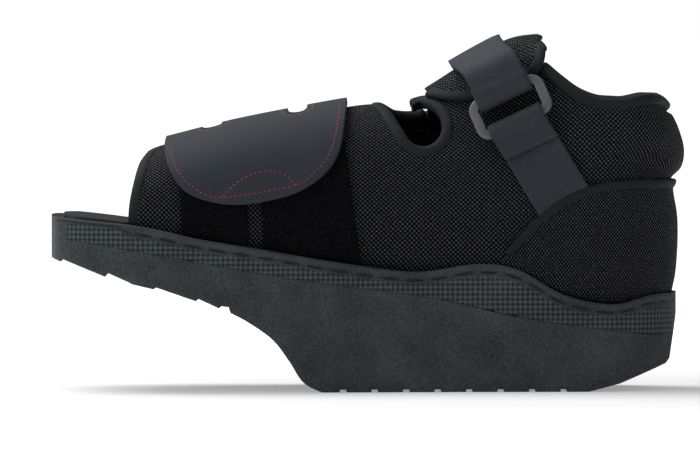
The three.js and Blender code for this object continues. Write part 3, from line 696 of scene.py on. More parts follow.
class Shader:
    """One material under construction."""

    def __init__(self, name: str, **constants: object) -> None:
        """Start a material whose shader has the same constants all over.

        Args:
            name: name of the material.
            constants: socket values that are the same all over.
        """
        self.material = bpy.data.materials.new(name)
        self.material.use_nodes = True
        self.tree = self.material.node_tree
        self.surface = self.tree.nodes["Principled BSDF"]
        for socket, value in constants.items():
            self.surface.inputs[socket.replace("_", " ")].default_value = value

    def node(self, kind: str, settings: dict | None = None, inputs: dict | None = None,
             out: object = 0) -> Value:
        """Add any node.

        Args:
            kind: the node's type.
            settings: its own properties, set first.
            inputs: values or links of its sockets, by name or number.
            out: the output that is handed back, by name or number.

        Returns:
            That output.
        """
        made = self.tree.nodes.new(kind)
        for key, value in (settings or {}).items():
            setattr(made, key, value)
        for key, value in (inputs or {}).items():
            if isinstance(value, Value):
                self.tree.links.new(value.socket, made.inputs[key])
            else:
                made.inputs[key].default_value = value
        return Value(self, made.outputs[out])

    def link(self, socket: str, value: Value) -> "Shader":
        """Feed a varying value to the surface."""
        self.tree.links.new(value.socket, self.surface.inputs[socket])
        return self

    def cloth_axes(self) -> tuple[Value, Value]:
        """The two cloth directions of the piece's own map, in millimetres.

        Returns:
            The value along the cloth and the value across it.
        """
        place = self.node("ShaderNodeUVMap", {"uv_map": "UVMap"})
        parts = self.node("ShaderNodeSeparateXYZ", None, {0: place})
        return parts, Value(self, parts.socket.node.outputs[1])

    def noise(self, scale: float, detail: float = 3.0, rough: float = 0.55, cloth: bool = False) -> Value:
        """Noise over the object, or over the cloth map, as a number.

        Args:
            scale: repeats for each metre, or for each millimetre of cloth.
            detail: octaves of finer noise.
            rough: strength of the finer noise.
            cloth: whether it lies on the cloth map.

        Returns:
            Noise from 0 to 1.
        """
        if cloth:
            place = self.node("ShaderNodeUVMap", {"uv_map": "UVMap"})
        else:
            place = self.node("ShaderNodeTexCoord", None, None, "Object")
        inputs = {"Vector": place, "Scale": scale, "Detail": detail, "Roughness": rough}
        return self.node("ShaderNodeTexNoise", None, inputs, 0)

    def mix(self, share: Value, first: tuple, second: tuple) -> Value:
        """Mix two colours by a share."""
        settings = {"data_type": "RGBA", "blend_type": "MIX"}
        return self.node("ShaderNodeMix", settings, {0: share, 6: first, 7: second}, 2)

    def bump(self, height: Value, strength: float, distance: float) -> "Shader":
        """Raise the surface's fine relief, with its depth in millimetres."""
        inputs = {"Height": height, "Strength": strength, "Distance": distance * MM}
        return self.link("Normal", self.node("ShaderNodeBump", None, inputs))


@dataclass(frozen=True)
class Finishes:
    """Colours of the shoe's materials, and the shaders made from them."""

    foam: tuple = linear(72, 78, 82)
    foam_dark: tuple = linear(33, 36, 38)
    # light grey that the black yarn shows where painted glints fall, a painted highlight; a little of it
    # tints the yarn everywhere
    yarn_glint: tuple = linear(112, 115, 119)
    hole: tuple = linear(5, 5, 6)
    pile: tuple = linear(22, 23, 25)
    tape: tuple = linear(40, 43, 45)
    leather: tuple = linear(50, 55, 60)
    leather_dark: tuple = linear(45, 50, 55)
    webbing: tuple = linear(58, 64, 70)
    webbing_dark: tuple = linear(34, 37, 41)
    plastic: tuple = linear(98, 102, 106)
    plastic_dark: tuple = linear(62, 66, 70)
    lining: tuple = linear(36, 37, 39)
    crimson: tuple = linear(170, 32, 74)
    black: tuple = linear(14, 15, 16)

    def sole(self) -> bpy.types.Material:
        """Charcoal moulded foam with a fine grain and a dimpled band whose dimples are painted darker than
        their rims, as painted shade and painted highlight.

        Returns:
            The material.
        """
        shader = Shader("sole_foam", Roughness=0.7, Specular_IOR_Level=0.14)
        along, down = shader.cloth_axes()
        band = shader.node("ShaderNodeAttribute", {"attribute_name": "band"}, None, "Fac")
        dimple_pitch = 2.2
        k = math.pi / dimple_pitch
        lattice = (along * k + down * k).sin() * (along * k - down * k).sin()
        coarse = shader.noise(scale=900.0, detail=3.0, rough=0.7)
        grain = coarse * 0.6 + shader.noise(scale=2200.0, detail=3.0, rough=0.7) * 0.4
        cloud = shader.noise(scale=60.0, detail=3.0)
        # band * lattice darkens the dimples and lightens their rims in the colour: painted shade and painted
        # highlight
        tone = (grain * 0.75 + cloud * 0.25 + band * lattice * 0.3).ramp(low=0.3, high=0.72)
        shader.link("Base Color", shader.mix(tone, self.foam_dark, self.foam))
        relief = grain * 0.8 + band * lattice.ramp(low=-0.3, high=0.5)
        return shader.bump(relief, strength=0.6, distance=0.5).material

    def knit(self, name: str, pitch: float, flat: float) -> bpy.types.Material:
        """Black spacer knit: round holes in a slanted lattice between shiny yarns, with light glints painted
        onto the black yarns as painted highlights.

        Args:
            name: the material's name.
            pitch: distance between holes, in millimetres.
            flat: how much the rows lie flat, from 1 for round holes.

        Returns:
            The material.
        """
        shader = Shader(name, Roughness=0.7, Specular_IOR_Level=0.06)
        along, down = shader.cloth_axes()
        warp = shader.noise(scale=0.35, detail=2.0, cloth=True) * 0.6
        k = math.pi / pitch
        course, wale = (along + warp) * k, down * (k * flat)
        lattice = (course + wale).sin() * (course - wale).sin()
        thread = lattice.abs().ramp(low=0.3, high=0.85)
        # patches of light painted onto the yarns as painted highlights
        painted_glint = shader.noise(scale=2.4, detail=2.0, cloth=True).ramp(low=0.42, high=0.72)
        dullest = 0.15
        share = thread * (painted_glint * (1.0 - dullest) + dullest)
        shader.link("Base Color", shader.mix(share, self.hole, self.yarn_glint))
        shader.link("Roughness", 0.85 - thread * 0.3)
        return shader.bump(thread + painted_glint * 0.2, strength=0.9, distance=0.5).material

    def tape_cloth(self) -> bpy.types.Material:
        """Stretch binding tape with a fine slanted rib.

        Returns:
            The material.
        """
        shader = Shader("tape", Roughness=0.7, Specular_IOR_Level=0.1)
        along, across = shader.cloth_axes()
        rib_pitch, slant = 0.9, 0.35
        k = TAU / rib_pitch
        rib = (along * k + across * (slant * k)).sin().ramp(low=-0.6, high=0.8)
        worn = shader.noise(scale=90.0, detail=3.0)
        shader.link("Base Color", shader.mix(rib * 0.45 + worn * 0.55, self.black, self.tape))
        return shader.bump(rib + worn * 0.4, strength=0.5, distance=0.22).material

    def loop_pile(self) -> bpy.types.Material:
        """Fuzzy black loop pile.

        Returns:
            The material.
        """
        shader = Shader("loop_pile", Roughness=0.95, Specular_IOR_Level=0.03)
        fuzz = shader.noise(scale=900.0, detail=5.0, rough=0.7)
        shader.link("Base Color", shader.mix(fuzz.ramp(low=0.35, high=0.72), self.hole, self.pile))
        return shader.bump(fuzz, strength=1.0, distance=0.9).material

    def strap_leather(self) -> bpy.types.Material:
        """Matt slate synthetic leather with a fine pebble.

        Returns:
            The material.
        """
        shader = Shader("strap_leather", Roughness=0.75, Specular_IOR_Level=0.12)
        place = shader.node("ShaderNodeTexCoord", None, None, "Object")
        pebble = shader.node("ShaderNodeTexVoronoi", None, {"Vector": place, "Scale": 1500.0}, "Distance")
        cloud = shader.noise(scale=45.0, detail=4.0)
        tone = cloud.ramp(low=0.3, high=0.8)
        shader.link("Base Color", shader.mix(tone, self.leather_dark, self.leather))
        shader.link("Roughness", 0.7 + cloud * 0.16)
        return shader.bump(pebble, strength=0.35, distance=0.12).material

    def webbing_cloth(self) -> bpy.types.Material:
        """Woven webbing: lengthwise ribs crossed by a fine weft.

        Returns:
            The material.
        """
        shader = Shader("webbing", Roughness=0.7, Specular_IOR_Level=0.12)
        along, across = shader.cloth_axes()
        rib_pitch, weft_pitch = 0.9, 0.7
        rib = (across * (TAU / rib_pitch)).sin()
        weft = (along * (TAU / weft_pitch)).sin()
        weave = (rib * 0.6 + weft * 0.3).ramp(low=-0.9, high=0.9)
        worn = shader.noise(scale=70.0, detail=3.0)
        shader.link("Base Color", shader.mix(weave * 0.7 + worn * 0.3, self.webbing_dark, self.webbing))
        return shader.bump(weave, strength=0.5, distance=0.2).material

    def ring_plastic(self) -> bpy.types.Material:
        """Satin dark grey plastic with faint scuffs.

        Returns:
            The material.
        """
        shader = Shader("ring_plastic", Roughness=0.3, Specular_IOR_Level=0.5)
        scuff = shader.noise(scale=260.0, detail=5.0)
        shader.link("Base Color", shader.mix(scuff, self.plastic_dark, self.plastic))
        shader.link("Roughness", 0.24 + scuff * 0.2)
        return shader.bump(scuff, strength=0.1, distance=0.05).material

    def thread(self, name: str, colour: tuple) -> bpy.types.Material:
        """Twisted sewing thread.

        Args:
            name: name of the material.
            colour: the thread's colour.

        Returns:
            The material.
        """
        shader = Shader(name, Roughness=0.6, Specular_IOR_Level=0.35)
        twist = shader.noise(scale=2200.0, detail=2.0)
        shade = 0.45
        dark = tuple(shade * channel for channel in colour[:3])
        shader.link("Base Color", shader.mix(twist.ramp(low=0.3, high=0.7), (*dark, 1.0), colour))
        return shader.bump(twist, strength=0.4, distance=0.1).material

    def insole_cloth(self) -> bpy.types.Material:
        """Brushed black lining cloth.

        Returns:
            The material.
        """
        shader = Shader("insole_cloth", Roughness=0.85, Specular_IOR_Level=0.25)
        nap = shader.noise(scale=1400.0, detail=4.0)
        shader.link("Base Color", shader.mix(nap, self.black, self.lining))
        return shader.bump(nap, strength=0.6, distance=0.25).material


# The knitted upper and its tapes


@dataclass(frozen=True)
class Keyhole:
    """The round notch between vamp and ankle, with its bound edge, in millimetres."""

    x: float = 24.2
    z: float = 115.8
    radius: float = 8.2
    tape: float = 2.9
    start: float = 2.05
    stop: float = -2.62
    rise: Point2 = (9.0, 119.0)
    crest_x: float = 4.0
    crest_z: float = 126.0
    front: float = 3.0
    tip: float = 21.5
    lap: float = 1.6
    far: tuple[Point2, ...] = ((8.5, 121.4), (14.0, 119.8), (20.5, 119.8), (26.0, 121.4))
    top: float = 200.0

    @property
    def ring(self) -> float:
        """Radius of the middle of the tape."""
        return self.radius + self.tape

    def line(self, count: int = 15) -> np.ndarray:
        """Middle of the tape from the ankle tip round the notch and up to the vamp.

        Args:
            count: how many samples.

        Returns:
            Rows of x and z.
        """
        turn = np.linspace(self.start, self.stop, count)
        round_part = np.stack([self.x + self.ring * np.cos(turn), self.z + self.ring * np.sin(turn)], axis=1)
        return np.vstack([round_part, [self.rise]])

    def outline(self) -> np.ndarray:
        """The cut itself, open to the top."""
        corners = [(self.front, self.crest_z), (self.front, self.top), (self.tip, self.top)]
        return np.vstack([self.line(), corners])

    def far_outline(self) -> np.ndarray:
        """The shallow cut on the side away from the buckle, open to the top."""
        corners = [(self.far[-1][0] - self.lap, self.top), (self.front, self.top), (self.front, self.crest_z)]
        return np.vstack([smooth_line(self.far, 20), corners])


KEYHOLE = Keyhole()


def cloth_place(points: np.ndarray, u: np.ndarray, angle: np.ndarray) -> np.ndarray:
    """Place of form points on flat cloth, in millimetres, with little stretch.

    Args:
        points: rows of x, y and z.
        u: section shares of the points.
        angle: section angles of the points.

    Returns:
        Rows of the two cloth directions.
    """
    spread, crest_from, crest_length = 0.62, 0.35, 0.2
    half = FORM.rows(u)[4]
    spare = spread * (half - np.abs(points[:, 1]))
    to_crest = part((1.0 - np.cos(angle)) / 2.0, crest_from, crest_length)
    return np.stack([points[:, 0] + spare * (1.0 - to_crest), points[:, 2] + spare * to_crest], axis=1)


def crest_spot(x: float, grow: float) -> tuple[float, float]:
    """Section share of the crest at a place along the shoe, and its height.

    Args:
        x: place along the shoe, in millimetres.
        grow: distance outside the knitted wall, in millimetres.

    Returns:
        The section share and the height.
    """
    u = np.linspace(0.0, 1.0, FINE_STEPS)
    crest = FORM.point(u, np.full_like(u, math.pi), grow)
    best = int(np.argmin(np.abs(crest[:, 0] - x)))
    return float(u[best]), float(crest[best, 2])


def heel_spot(z: float, grow: float) -> float:
    """Section share of the heel line at a height.

    Args:
        z: height, in millimetres.
        grow: distance outside the knitted wall, in millimetres.

    Returns:
        The section share.
    """
    heel_from = 0.42
    u = np.linspace(heel_from, 1.0, FINE_STEPS)
    heel = FORM.point(u, np.zeros_like(u), grow)
    return float(u[int(np.argmin(np.abs(heel[:, 2] - z)))])


@dataclass
class Tape:
    """A flat binding tape rolled over an edge, along a route on the foot form."""

    name: str
    width: float
    thick: float
    grow: float
    near: np.ndarray
    middle: tuple[float, float] | None
    far_rows: int | None = None
    far: np.ndarray | None = None
    steps: int = 220
    sides: int = 14
    nudge: float = 0.002
    squareness: float = 0.75
    end_steps: float = 3.0
    girth: float = 1.6

    def route(self) -> tuple[np.ndarray, np.ndarray]:
        """Section shares and angles along the tape, near side first.

        Returns:
            The section shares and the angles.
        """
        u, angle = FORM.locate(self.near[:, 0], self.near[:, 1], grow=self.grow)
        shares, turns = list(u), list(angle)
        if self.middle is not None:
            count = len(u) if self.far_rows is None else self.far_rows
            shares.append(self.middle[0])
            turns.append(self.middle[1])
            far_u, far_angle = u[::-1][:count], 2.0 * self.middle[1] - angle[::-1][:count]
            if self.far is not None:
                far_u, far_angle = FORM.locate(self.far[:, 0], self.far[:, 1], near=False, grow=self.grow)
            shares.extend(far_u)
            turns.extend(far_angle)
        return np.array(shares), np.array(turns)

    def build(self, material: bpy.types.Material) -> bpy.types.Object:
        """Sweep a rounded flat section along the route.

        Args:
            material: its finish.

        Returns:
            The new object.
        """
        u_rows, turn_rows = self.route()
        run = run_along(FORM.point(u_rows, turn_rows, self.grow))
        even = np.linspace(0.0, 1.0, len(u_rows))
        patch = Patch(self.steps, self.sides)

        def spot(share: np.ndarray) -> tuple[np.ndarray, np.ndarray]:
            """Section shares and angles at shares of the tape's length."""
            at = np.interp(share, run / run[-1], even)
            return spline(u_rows, at), spline(turn_rows, at)

        u, turn = spot(patch.a)
        ahead = FORM.point(*spot(np.clip(patch.a + self.nudge, 0.0, 1.0)), self.grow)
        behind = FORM.point(*spot(np.clip(patch.a - self.nudge, 0.0, 1.0)), self.grow)
        out = FORM.normal(u, turn)
        side = unit(np.cross(unit(ahead - behind), out))
        wide, high = rounded(patch.b * TAU, self.squareness)
        section = side * (wide * self.width / 2.0)[:, None] + out * (high * self.thick / 2.0)[:, None]
        ends = np.sqrt(np.clip(np.minimum(patch.a, 1.0 - patch.a) * self.steps / self.end_steps, 0.0, 1.0))
        points = FORM.point(u, turn, self.grow) + section * ends[:, None]
        cloth = np.stack([patch.a * run[-1], patch.b * (self.width + self.thick) * self.girth], axis=1)
        return patch.lay(points).weave_map(cloth).finish(self.name, material)


@dataclass(frozen=True)
class Fold:
    """A long swelling or crease of the knit round the heel, seen from the side, in millimetres."""

    height: float
    z: float
    spread: float
    slope: float
    start: Point2
    stop: Point2

    def at(self, x: np.ndarray, z: np.ndarray) -> np.ndarray:
        """Distance outwards at places, which fades in at the start and out at the stop."""
        bell = np.exp(-(((z - self.z - self.slope * x) / self.spread) ** 2))
        return self.height * bell * part(x, *self.start) * part(x, *self.stop)


@dataclass
class Upper:
    """Knitted vamp, quarters and padded collar, with the tapes round their openings."""

    wall: float = 3.4
    toe_tape: tuple[float, float] = (5.4, 4.3)
    toe_rows_top: float = 104.5
    throat_tape: tuple[float, float] = (6.0, 5.0)
    collar_tape: tuple[float, float] = (5.6, 6.6)
    toe_crest: float = -88.6
    collar_span: tuple[float, float] = (76.0, 128.0)
    collar_grow: float = -2.4
    collar_heel: float = 125.0
    toe_lap: float = 0.6
    collar_lap: float = 1.2
    collar_from: float = 15.0
    floor_gap: float = 0.4
    slack: float = 0.35
    waves: tuple[float, ...] = (9.0, 14.0, 8.0, 21.0)
    crease: Fold = Fold(-1.2, 98.5, 2.6, 0.02, (96.0, 8.0), (132.0, -6.0))
    puff: Fold = Fold(1.3, 113.0, 8.0, 0.0, (80.0, 20.0), (136.0, -8.0))
    columns: int = 230
    rows: int = 190

    def stays(self, middles: np.ndarray) -> np.ndarray:
        """Tell which faces of the whole form belong to the upper.

        Args:
            middles: middles of the faces, in millimetres.

        Returns:
            Which faces stay.
        """
        x, y, z = middles.T
        toe = smooth_line(LINES.toe, 40)
        front = np.interp(z, toe[:, 1], toe[:, 0]) - self.toe_lap
        collar = height_reader(LINES.collar)(x) - self.collar_lap
        notch = np.where(y < 0, inside(KEYHOLE.outline(), x, z), inside(KEYHOLE.far_outline(), x, z))
        under_collar = (z < collar) | (x < self.collar_from)
        return (x > front) & (z > floor_z(x) + self.floor_gap) & under_collar & ~notch

    def build(self, finishes: Finishes) -> None:
        """Make the knitted wall and its tapes.

        Args:
            finishes: the shoe's finishes.
        """
        patch = Patch(self.columns, self.rows)
        u, angle = patch.a, patch.b * TAU
        points = FORM.point(u, angle) + FORM.normal(u, angle) * self.ripple(u, angle)[:, None]
        patch.lay(points).weave_map(cloth_place(points, u, angle)).keep(self.stays)
        body = patch.finish("upper_knit", finishes.knit("knit", *UPPER_KNIT))
        face_outwards(body, SHOE_MIDDLE)
        thicken(body, self.wall, outwards=False)
        settle(body, Slot.KNIT, "upper")
        cloth = finishes.tape_cloth()
        for tape in self.tapes():
            settle(tape.build(cloth), Slot.TAPE, tape.name.replace("_tape", "_binding"))

    def ripple(self, u: np.ndarray, angle: np.ndarray) -> np.ndarray:
        """Soft dents of the knit, deeper in the padded collar, in millimetres.

        Args:
            u: section shares from toe to collar.
            angle: section angles.

        Returns:
            Distances outwards, in millimetres.
        """
        place = FORM.point(u, angle)
        x, z = place[:, 0], place[:, 2]
        first, second, third, fourth = self.waves
        slack = self.slack * np.sin(x / first + z / second) * np.sin(z / third - x / fourth)
        return slack + self.crease.at(x, z) + self.puff.at(x, z)

    def tapes(self) -> Iterable[Tape]:
        """The three tapes of the upper's openings.

        Returns:
            The tapes, not yet built.
        """
        toe = smooth_line(LINES.toe, 16)
        toe = toe[(toe[:, 1] > floor_z(toe[:, 0])) & (toe[:, 1] < self.toe_rows_top)]
        middle = (crest_spot(self.toe_crest, -self.wall / 2)[0], math.pi)
        yield Tape("toe_tape", *self.toe_tape, -self.wall / 2, toe, middle)
        middle = (crest_spot(KEYHOLE.crest_x, -self.wall / 2)[0], math.pi)
        far = np.array(KEYHOLE.far)
        yield Tape("throat_tape", *self.throat_tape, -self.wall / 2, KEYHOLE.line(), middle, far=far)
        start, stop = self.collar_span
        collar = np.array([row for row in LINES.collar if start < row[0] < stop])
        middle = (heel_spot(self.collar_heel, self.collar_grow), TAU)
        yield Tape("collar_tape", *self.collar_tape, self.collar_grow, collar, middle)


# Layers sewn over the knit


@dataclass
class Overlay:
    """A layer sewn over the knit, cut to its outline as seen from the side."""

    name: str
    node: str
    slot: Slot
    inner: float
    thick: float
    u_span: tuple[float, float]
    angle_span: tuple[float, float]
    grid: tuple[int, int]
    stays: Callable[[np.ndarray], np.ndarray]
    cut: Cut
    lines: Sequence[np.ndarray] = ()
    far_lines: Sequence[np.ndarray] = ()
    eases: int = 12
    merge: float = 0.3

    def build(self, material: bpy.types.Material) -> None:
        """Lay the sheet over the form, trim it and give it its thickness.

        Args:
            material: its finish.
        """
        patch = Patch(*self.grid)
        u = self.u_span[0] + patch.a * (self.u_span[1] - self.u_span[0])
        angle = self.angle_span[0] + patch.b * (self.angle_span[1] - self.angle_span[0])
        points = FORM.point(u, angle, self.inner)
        patch.lay(points).weave_map(cloth_place(points, u, angle)).keep(self.stays)
        self.snap(patch)
        patch.soften(self.eases)
        self.snap(patch)
        obj = patch.finish(self.name, material, self.merge)
        face_outwards(obj, SHOE_MIDDLE)
        thicken(obj, self.thick, outwards=True)
        settle(obj, self.slot, self.node)
        self.cut.declare(obj, "upper_knit")

    def snap(self, patch: Patch) -> None:
        """Draw the trimmed edges onto the outline, near side first.

        Args:
            patch: the trimmed grid.
        """
        for near, lines in ((True, self.lines), (False, self.far_lines)):
            for line in lines:
                patch.snap(line, self.inner, near)


def side_route(line: np.ndarray, grow: float, near: bool = True) -> tuple[np.ndarray, np.ndarray]:
    """Lay a side-view line on a layer of the form.

    Args:
        line: rows of x and z in millimetres.
        grow: distance outside the knitted wall, in millimetres.
        near: whether the line is on the buckle side.

    Returns:
        The points and their outward normals.
    """
    u, angle = FORM.locate(line[:, 0], line[:, 1], near, grow)
    return FORM.point(u, angle, grow), FORM.normal(u, angle)


def even_route(points: np.ndarray, normals: np.ndarray, pitch: float) -> tuple[np.ndarray, ...]:
    """Resample a route evenly.

    Args:
        points: rows of x, y and z.
        normals: outward normals at the points.
        pitch: distance between the new points.

    Returns:
        The new points, their directions along the route and their normals.
    """
    run = run_along(points)
    places = np.arange(pitch / 2.0, run[-1], pitch)
    reach = 0.2 * pitch

    def read(rows: np.ndarray, at: np.ndarray) -> np.ndarray:
        """Rows at places along the route."""
        return np.stack([np.interp(at, run, column) for column in rows.T], axis=1)

    along = unit(read(points, places + reach) - read(points, places - reach))
    return read(points, places), along, unit(read(normals, places))


@dataclass
class Stitching:
    """Rows of sewn thread on one piece, each stitch a small rounded bead."""

    name: str
    node_slot: Slot
    length: float
    width: float
    pitch: float
    routes: list[tuple[np.ndarray, np.ndarray]] = field(default_factory=list)
    sink: float = 0.25

    def build(self, material: bpy.types.Material) -> None:
        """Place a bead at each stitch.

        Args:
            material: its finish.
        """
        bm = bmesh.new()
        for points, normals in self.routes:
            for spot, along, out in zip(*even_route(points, normals, self.pitch)):
                side = np.cross(out, along)
                axes = Matrix([[*column] for column in zip(along, side, out)]).to_4x4()
                size = Matrix.Diagonal((self.length / 2.0, self.width / 2.0, self.width / 2.0, 1.0))
                place = Matrix.Translation(Vector(spot - out * self.sink * self.width))
                matrix = Matrix.Scale(MM, 4) @ place @ axes @ size
                bmesh.ops.create_uvsphere(bm, u_segments=6, v_segments=5, radius=1.0, matrix=matrix)
        settle(make_object(self.name, bm, material), self.node_slot)


@dataclass
class Forefoot:
    """Loop panels on the vamp and the slotted strap that closes over them."""

    panel_layer: tuple[float, float] = (GAP, 1.4)
    panel_spans: tuple[Point2, Point2] = ((0.02, 0.32), (3.5, 6.1))
    panel_grid: tuple[int, int] = (150, 90)
    panel_gap: float = 0.3
    strap_layer: tuple[float, float] = (2.1, 2.0)
    strap_spans: tuple[Point2, Point2] = ((0.02, 0.29), (0.75, 5.3))
    strap_grid: tuple[int, int] = (170, 190)
    strap_gap: float = 0.8
    strap_above: float = 200.0
    stitch: tuple[float, float, float] = (1.6, 0.75, 2.2)
    seam_inset: float = 2.4
    slots: tuple[float, ...] = (-68.4, -31.2)
    slot_width: float = 8.6
    slot_reach: float = 19.0
    far_front: float = -80.0
    far_back: float = -22.0
    front_panel: tuple[Point2, ...] = ((-80.6, 60.0), (-52.0, 60.0), (-54.0, 105.0), (-83.5, 101.0))
    rear_panel: tuple[Point2, ...] = ((-45.5, 50.0), (-2.3, 50.0), (-10.5, 110.0), (-47.5, 106.0))
    front_cut: Cut = Cut(37.0, 31.0)
    rear_cut: Cut = Cut(46.0, 44.5)
    strap_cut: Cut = Cut(159.0, 80.0, 10450.0)
    edge_seam: tuple[Point2, ...] = (
        (-86.4, 107.0), (-85.9, 101.8), (-80.6, 93.7), (-71.9, 87.1), (-64.3, 85.8), (-52.9, 87.1),
        (-31.8, 91.1), (-25.7, 94.6), (-20.6, 99.7), (-16.5, 105.7), (-14.2, 113.2), (-13.2, 120.2),
        (-12.4, 126.0),
    )
    arch_seam: tuple[Point2, ...] = (
        (-64.2, 85.8), (-57.7, 92.0), (-51.1, 95.7), (-42.9, 97.2), (-36.7, 95.7), (-31.5, 91.1),
    )

    def build(self, finishes: Finishes) -> None:
        """Make the panels, the strap and its sewing.

        Args:
            finishes: the shoe's finishes.
        """
        pile = finishes.loop_pile()
        self.panel("loop_panel_front", np.array(self.front_panel), self.front_cut).build(pile)
        self.panel("loop_panel_rear", np.array(self.rear_panel), self.rear_cut).build(pile)
        self.strap().build(finishes.strap_leather())
        self.sewing().build(finishes.thread("crimson_thread", finishes.crimson))

    def panel(self, name: str, outline: np.ndarray, cut: Cut) -> Overlay:
        """One loop panel, down to the sole's rim.

        Args:
            name: the solid that it stands for.
            outline: corners of the outline, as rows of x and z.
            cut: its flat size.

        Returns:
            The layer, not yet built.
        """
        closed = np.vstack([outline, outline[:1]])

        def stays(middles: np.ndarray) -> np.ndarray:
            """Keep what lies inside the outline and above the rim, on the near side."""
            x, z = middles[:, 0], middles[:, 2]
            return inside(outline, x, z) & (z > rim_z(x) + self.panel_gap) & (middles[:, 1] < 0)

        layer = (*self.panel_layer, *self.panel_spans, self.panel_grid, stays)
        return Overlay(f"{name}_pile", name, Slot.PILE, *layer, cut, [closed])

    def far_edge(self, x_low: float, x_high: float, z_high: float) -> np.ndarray:
        """A straight far-side edge of the strap from the crest down to the rim."""
        return np.array([(x_high, z_high), (x_low, float(rim_z(x_low)))])

    def in_slot(self, x: np.ndarray, y: np.ndarray) -> np.ndarray:
        """Tell which plan places lie in one of the slots.

        Args:
            x: places along the shoe, in millimetres.
            y: places across it, in millimetres.

        Returns:
            Which places lie in a slot.
        """
        radius = self.slot_width / 2.0
        reach = np.maximum(np.abs(y) - (self.slot_reach - radius), 0.0)
        return np.any([np.hypot(x - middle, reach) < radius for middle in self.slots], axis=0)

    def strap(self) -> Overlay:
        """The strap: a rounded flap on the near side, a plain band on the far side.

        Returns:
            The layer, not yet built.
        """
        flap = smooth_line(LINES.flap, 90)
        first, last = LINES.flap[0], LINES.flap[-1]
        near_shape = np.vstack([flap, [(last[0], self.strap_above), (first[0], self.strap_above)]])
        front = self.far_edge(self.far_front, *first)
        back = self.far_edge(self.far_back, *last)

        def stays(middles: np.ndarray) -> np.ndarray:
            """Keep the flap's outline near, the slanted band far, and cut the slots.

            Args:
                middles: middles of the faces, in millimetres.

            Returns:
                Which faces stay.
            """
            x, y, z = middles.T
            ahead = np.interp(z, front[::-1, 1], front[::-1, 0])
            behind = np.interp(z, back[::-1, 1], back[::-1, 0])
            far = (x > ahead) & (x < behind) & (z > rim_z(x) + self.strap_gap)
            return np.where(y < 0, inside(near_shape, x, z), far) & ~self.in_slot(x, y)

        layer = (*self.strap_layer, *self.strap_spans, self.strap_grid, stays)
        edges = ([flap], [front, back])
        return Overlay("strap_leather", "forefoot_strap", Slot.LEATHER, *layer, self.strap_cut, *edges)

    def sewing(self) -> Stitching:
        """Thread along the flap's edge, the arch inside it and each slot's border.

        Returns:
            The sewing, not yet built.
        """
        grow = sum(self.strap_layer)
        rows = [side_route(smooth_line(seam, 80), grow) for seam in (self.edge_seam, self.arch_seam)]
        radius = self.slot_width / 2.0 + self.seam_inset
        straight = self.slot_reach - self.slot_width / 2.0
        turn = np.linspace(0.0, math.pi, 41)
        side = np.linspace(straight, -straight, 31)
        for middle in self.slots:
            along = [radius * np.cos(turn), np.full_like(side, -radius), -radius * np.cos(turn),
                     np.full_like(side, radius)]
            across = [straight + radius * np.sin(turn), side, -straight - radius * np.sin(turn), -side]
            rows.append(self.crest_route(middle + np.concatenate(along), np.concatenate(across), grow))
        return Stitching("strap_sewing", Slot.LEATHER, *self.stitch, rows)

    def crest_route(self, x: np.ndarray, y: np.ndarray, grow: float) -> tuple[np.ndarray, np.ndarray]:
        """Points and normals of a plan line on the strap near the crest.

        Args:
            x: places along the shoe, in millimetres.
            y: places across it, in millimetres.
            grow: distance outside the knitted wall, in millimetres.

        Returns:
            The points and their normals.
        """
        u = np.array([crest_spot(value, grow)[0] for value in x])
        angle = np.full_like(u, math.pi)
        rounds, turn_scale, share_scale = 30, 45.0, 700.0
        for _ in range(rounds):
            place = FORM.point(u, angle, grow)
            angle = angle + (place[:, 1] - y) / turn_scale
            u = u - (place[:, 0] - x) / share_scale
        return FORM.point(u, angle, grow), FORM.normal(u, angle)


@dataclass
class Heel:
    """Fine-knit overlay round the heel and the tape along its top."""

    layer: tuple[float, float] = (GAP, 1.6)
    spans: tuple[Point2, Point2] = ((0.3, 0.78), (-2.3, 2.3))
    grid: tuple[int, int] = (150, 190)
    rim_gap: float = 0.3
    tape: tuple[float, float] = (4.0, 2.6)
    tape_gap: float = 1.0
    tape_stop: float = 128.0
    tape_heel: float = 91.0
    knit: tuple[float, float] = (1.5, 0.8)
    cut: Cut = Cut(160.0, 51.0, 7970.0)

    def build(self, finishes: Finishes) -> None:
        """Make the overlay and its tape.

        Args:
            finishes: the shoe's finishes.
        """
        line = smooth_line(LINES.counter, 80)
        top = height_reader(LINES.counter)

        def stays(middles: np.ndarray) -> np.ndarray:
            """Keep what lies below the tape and above the rim."""
            x, z = middles[:, 0], middles[:, 2]
            return (x > LINES.counter[0][0]) & (z < top(x)) & (z > rim_z(x) + self.rim_gap)

        layer = (*self.layer, *self.spans, self.grid, stays)
        cover = Overlay("counter_knit", "heel_counter", Slot.COUNTER, *layer, self.cut, [line], [line])
        cover.build(finishes.knit("counter_knit", *self.knit))
        rows = np.array([row for row in smooth_line(LINES.counter, 22) if row[0] < self.tape_stop])
        rows = rows[rows[:, 1] > rim_z(rows[:, 0]) + self.tape_gap]
        grow = self.layer[0] + self.tape[1] / 2.0
        tape = Tape("counter_tape", *self.tape, grow, rows, (heel_spot(self.tape_heel, grow), TAU))
        settle(tape.build(finishes.tape_cloth()), Slot.TAPE, "heel_counter_binding")


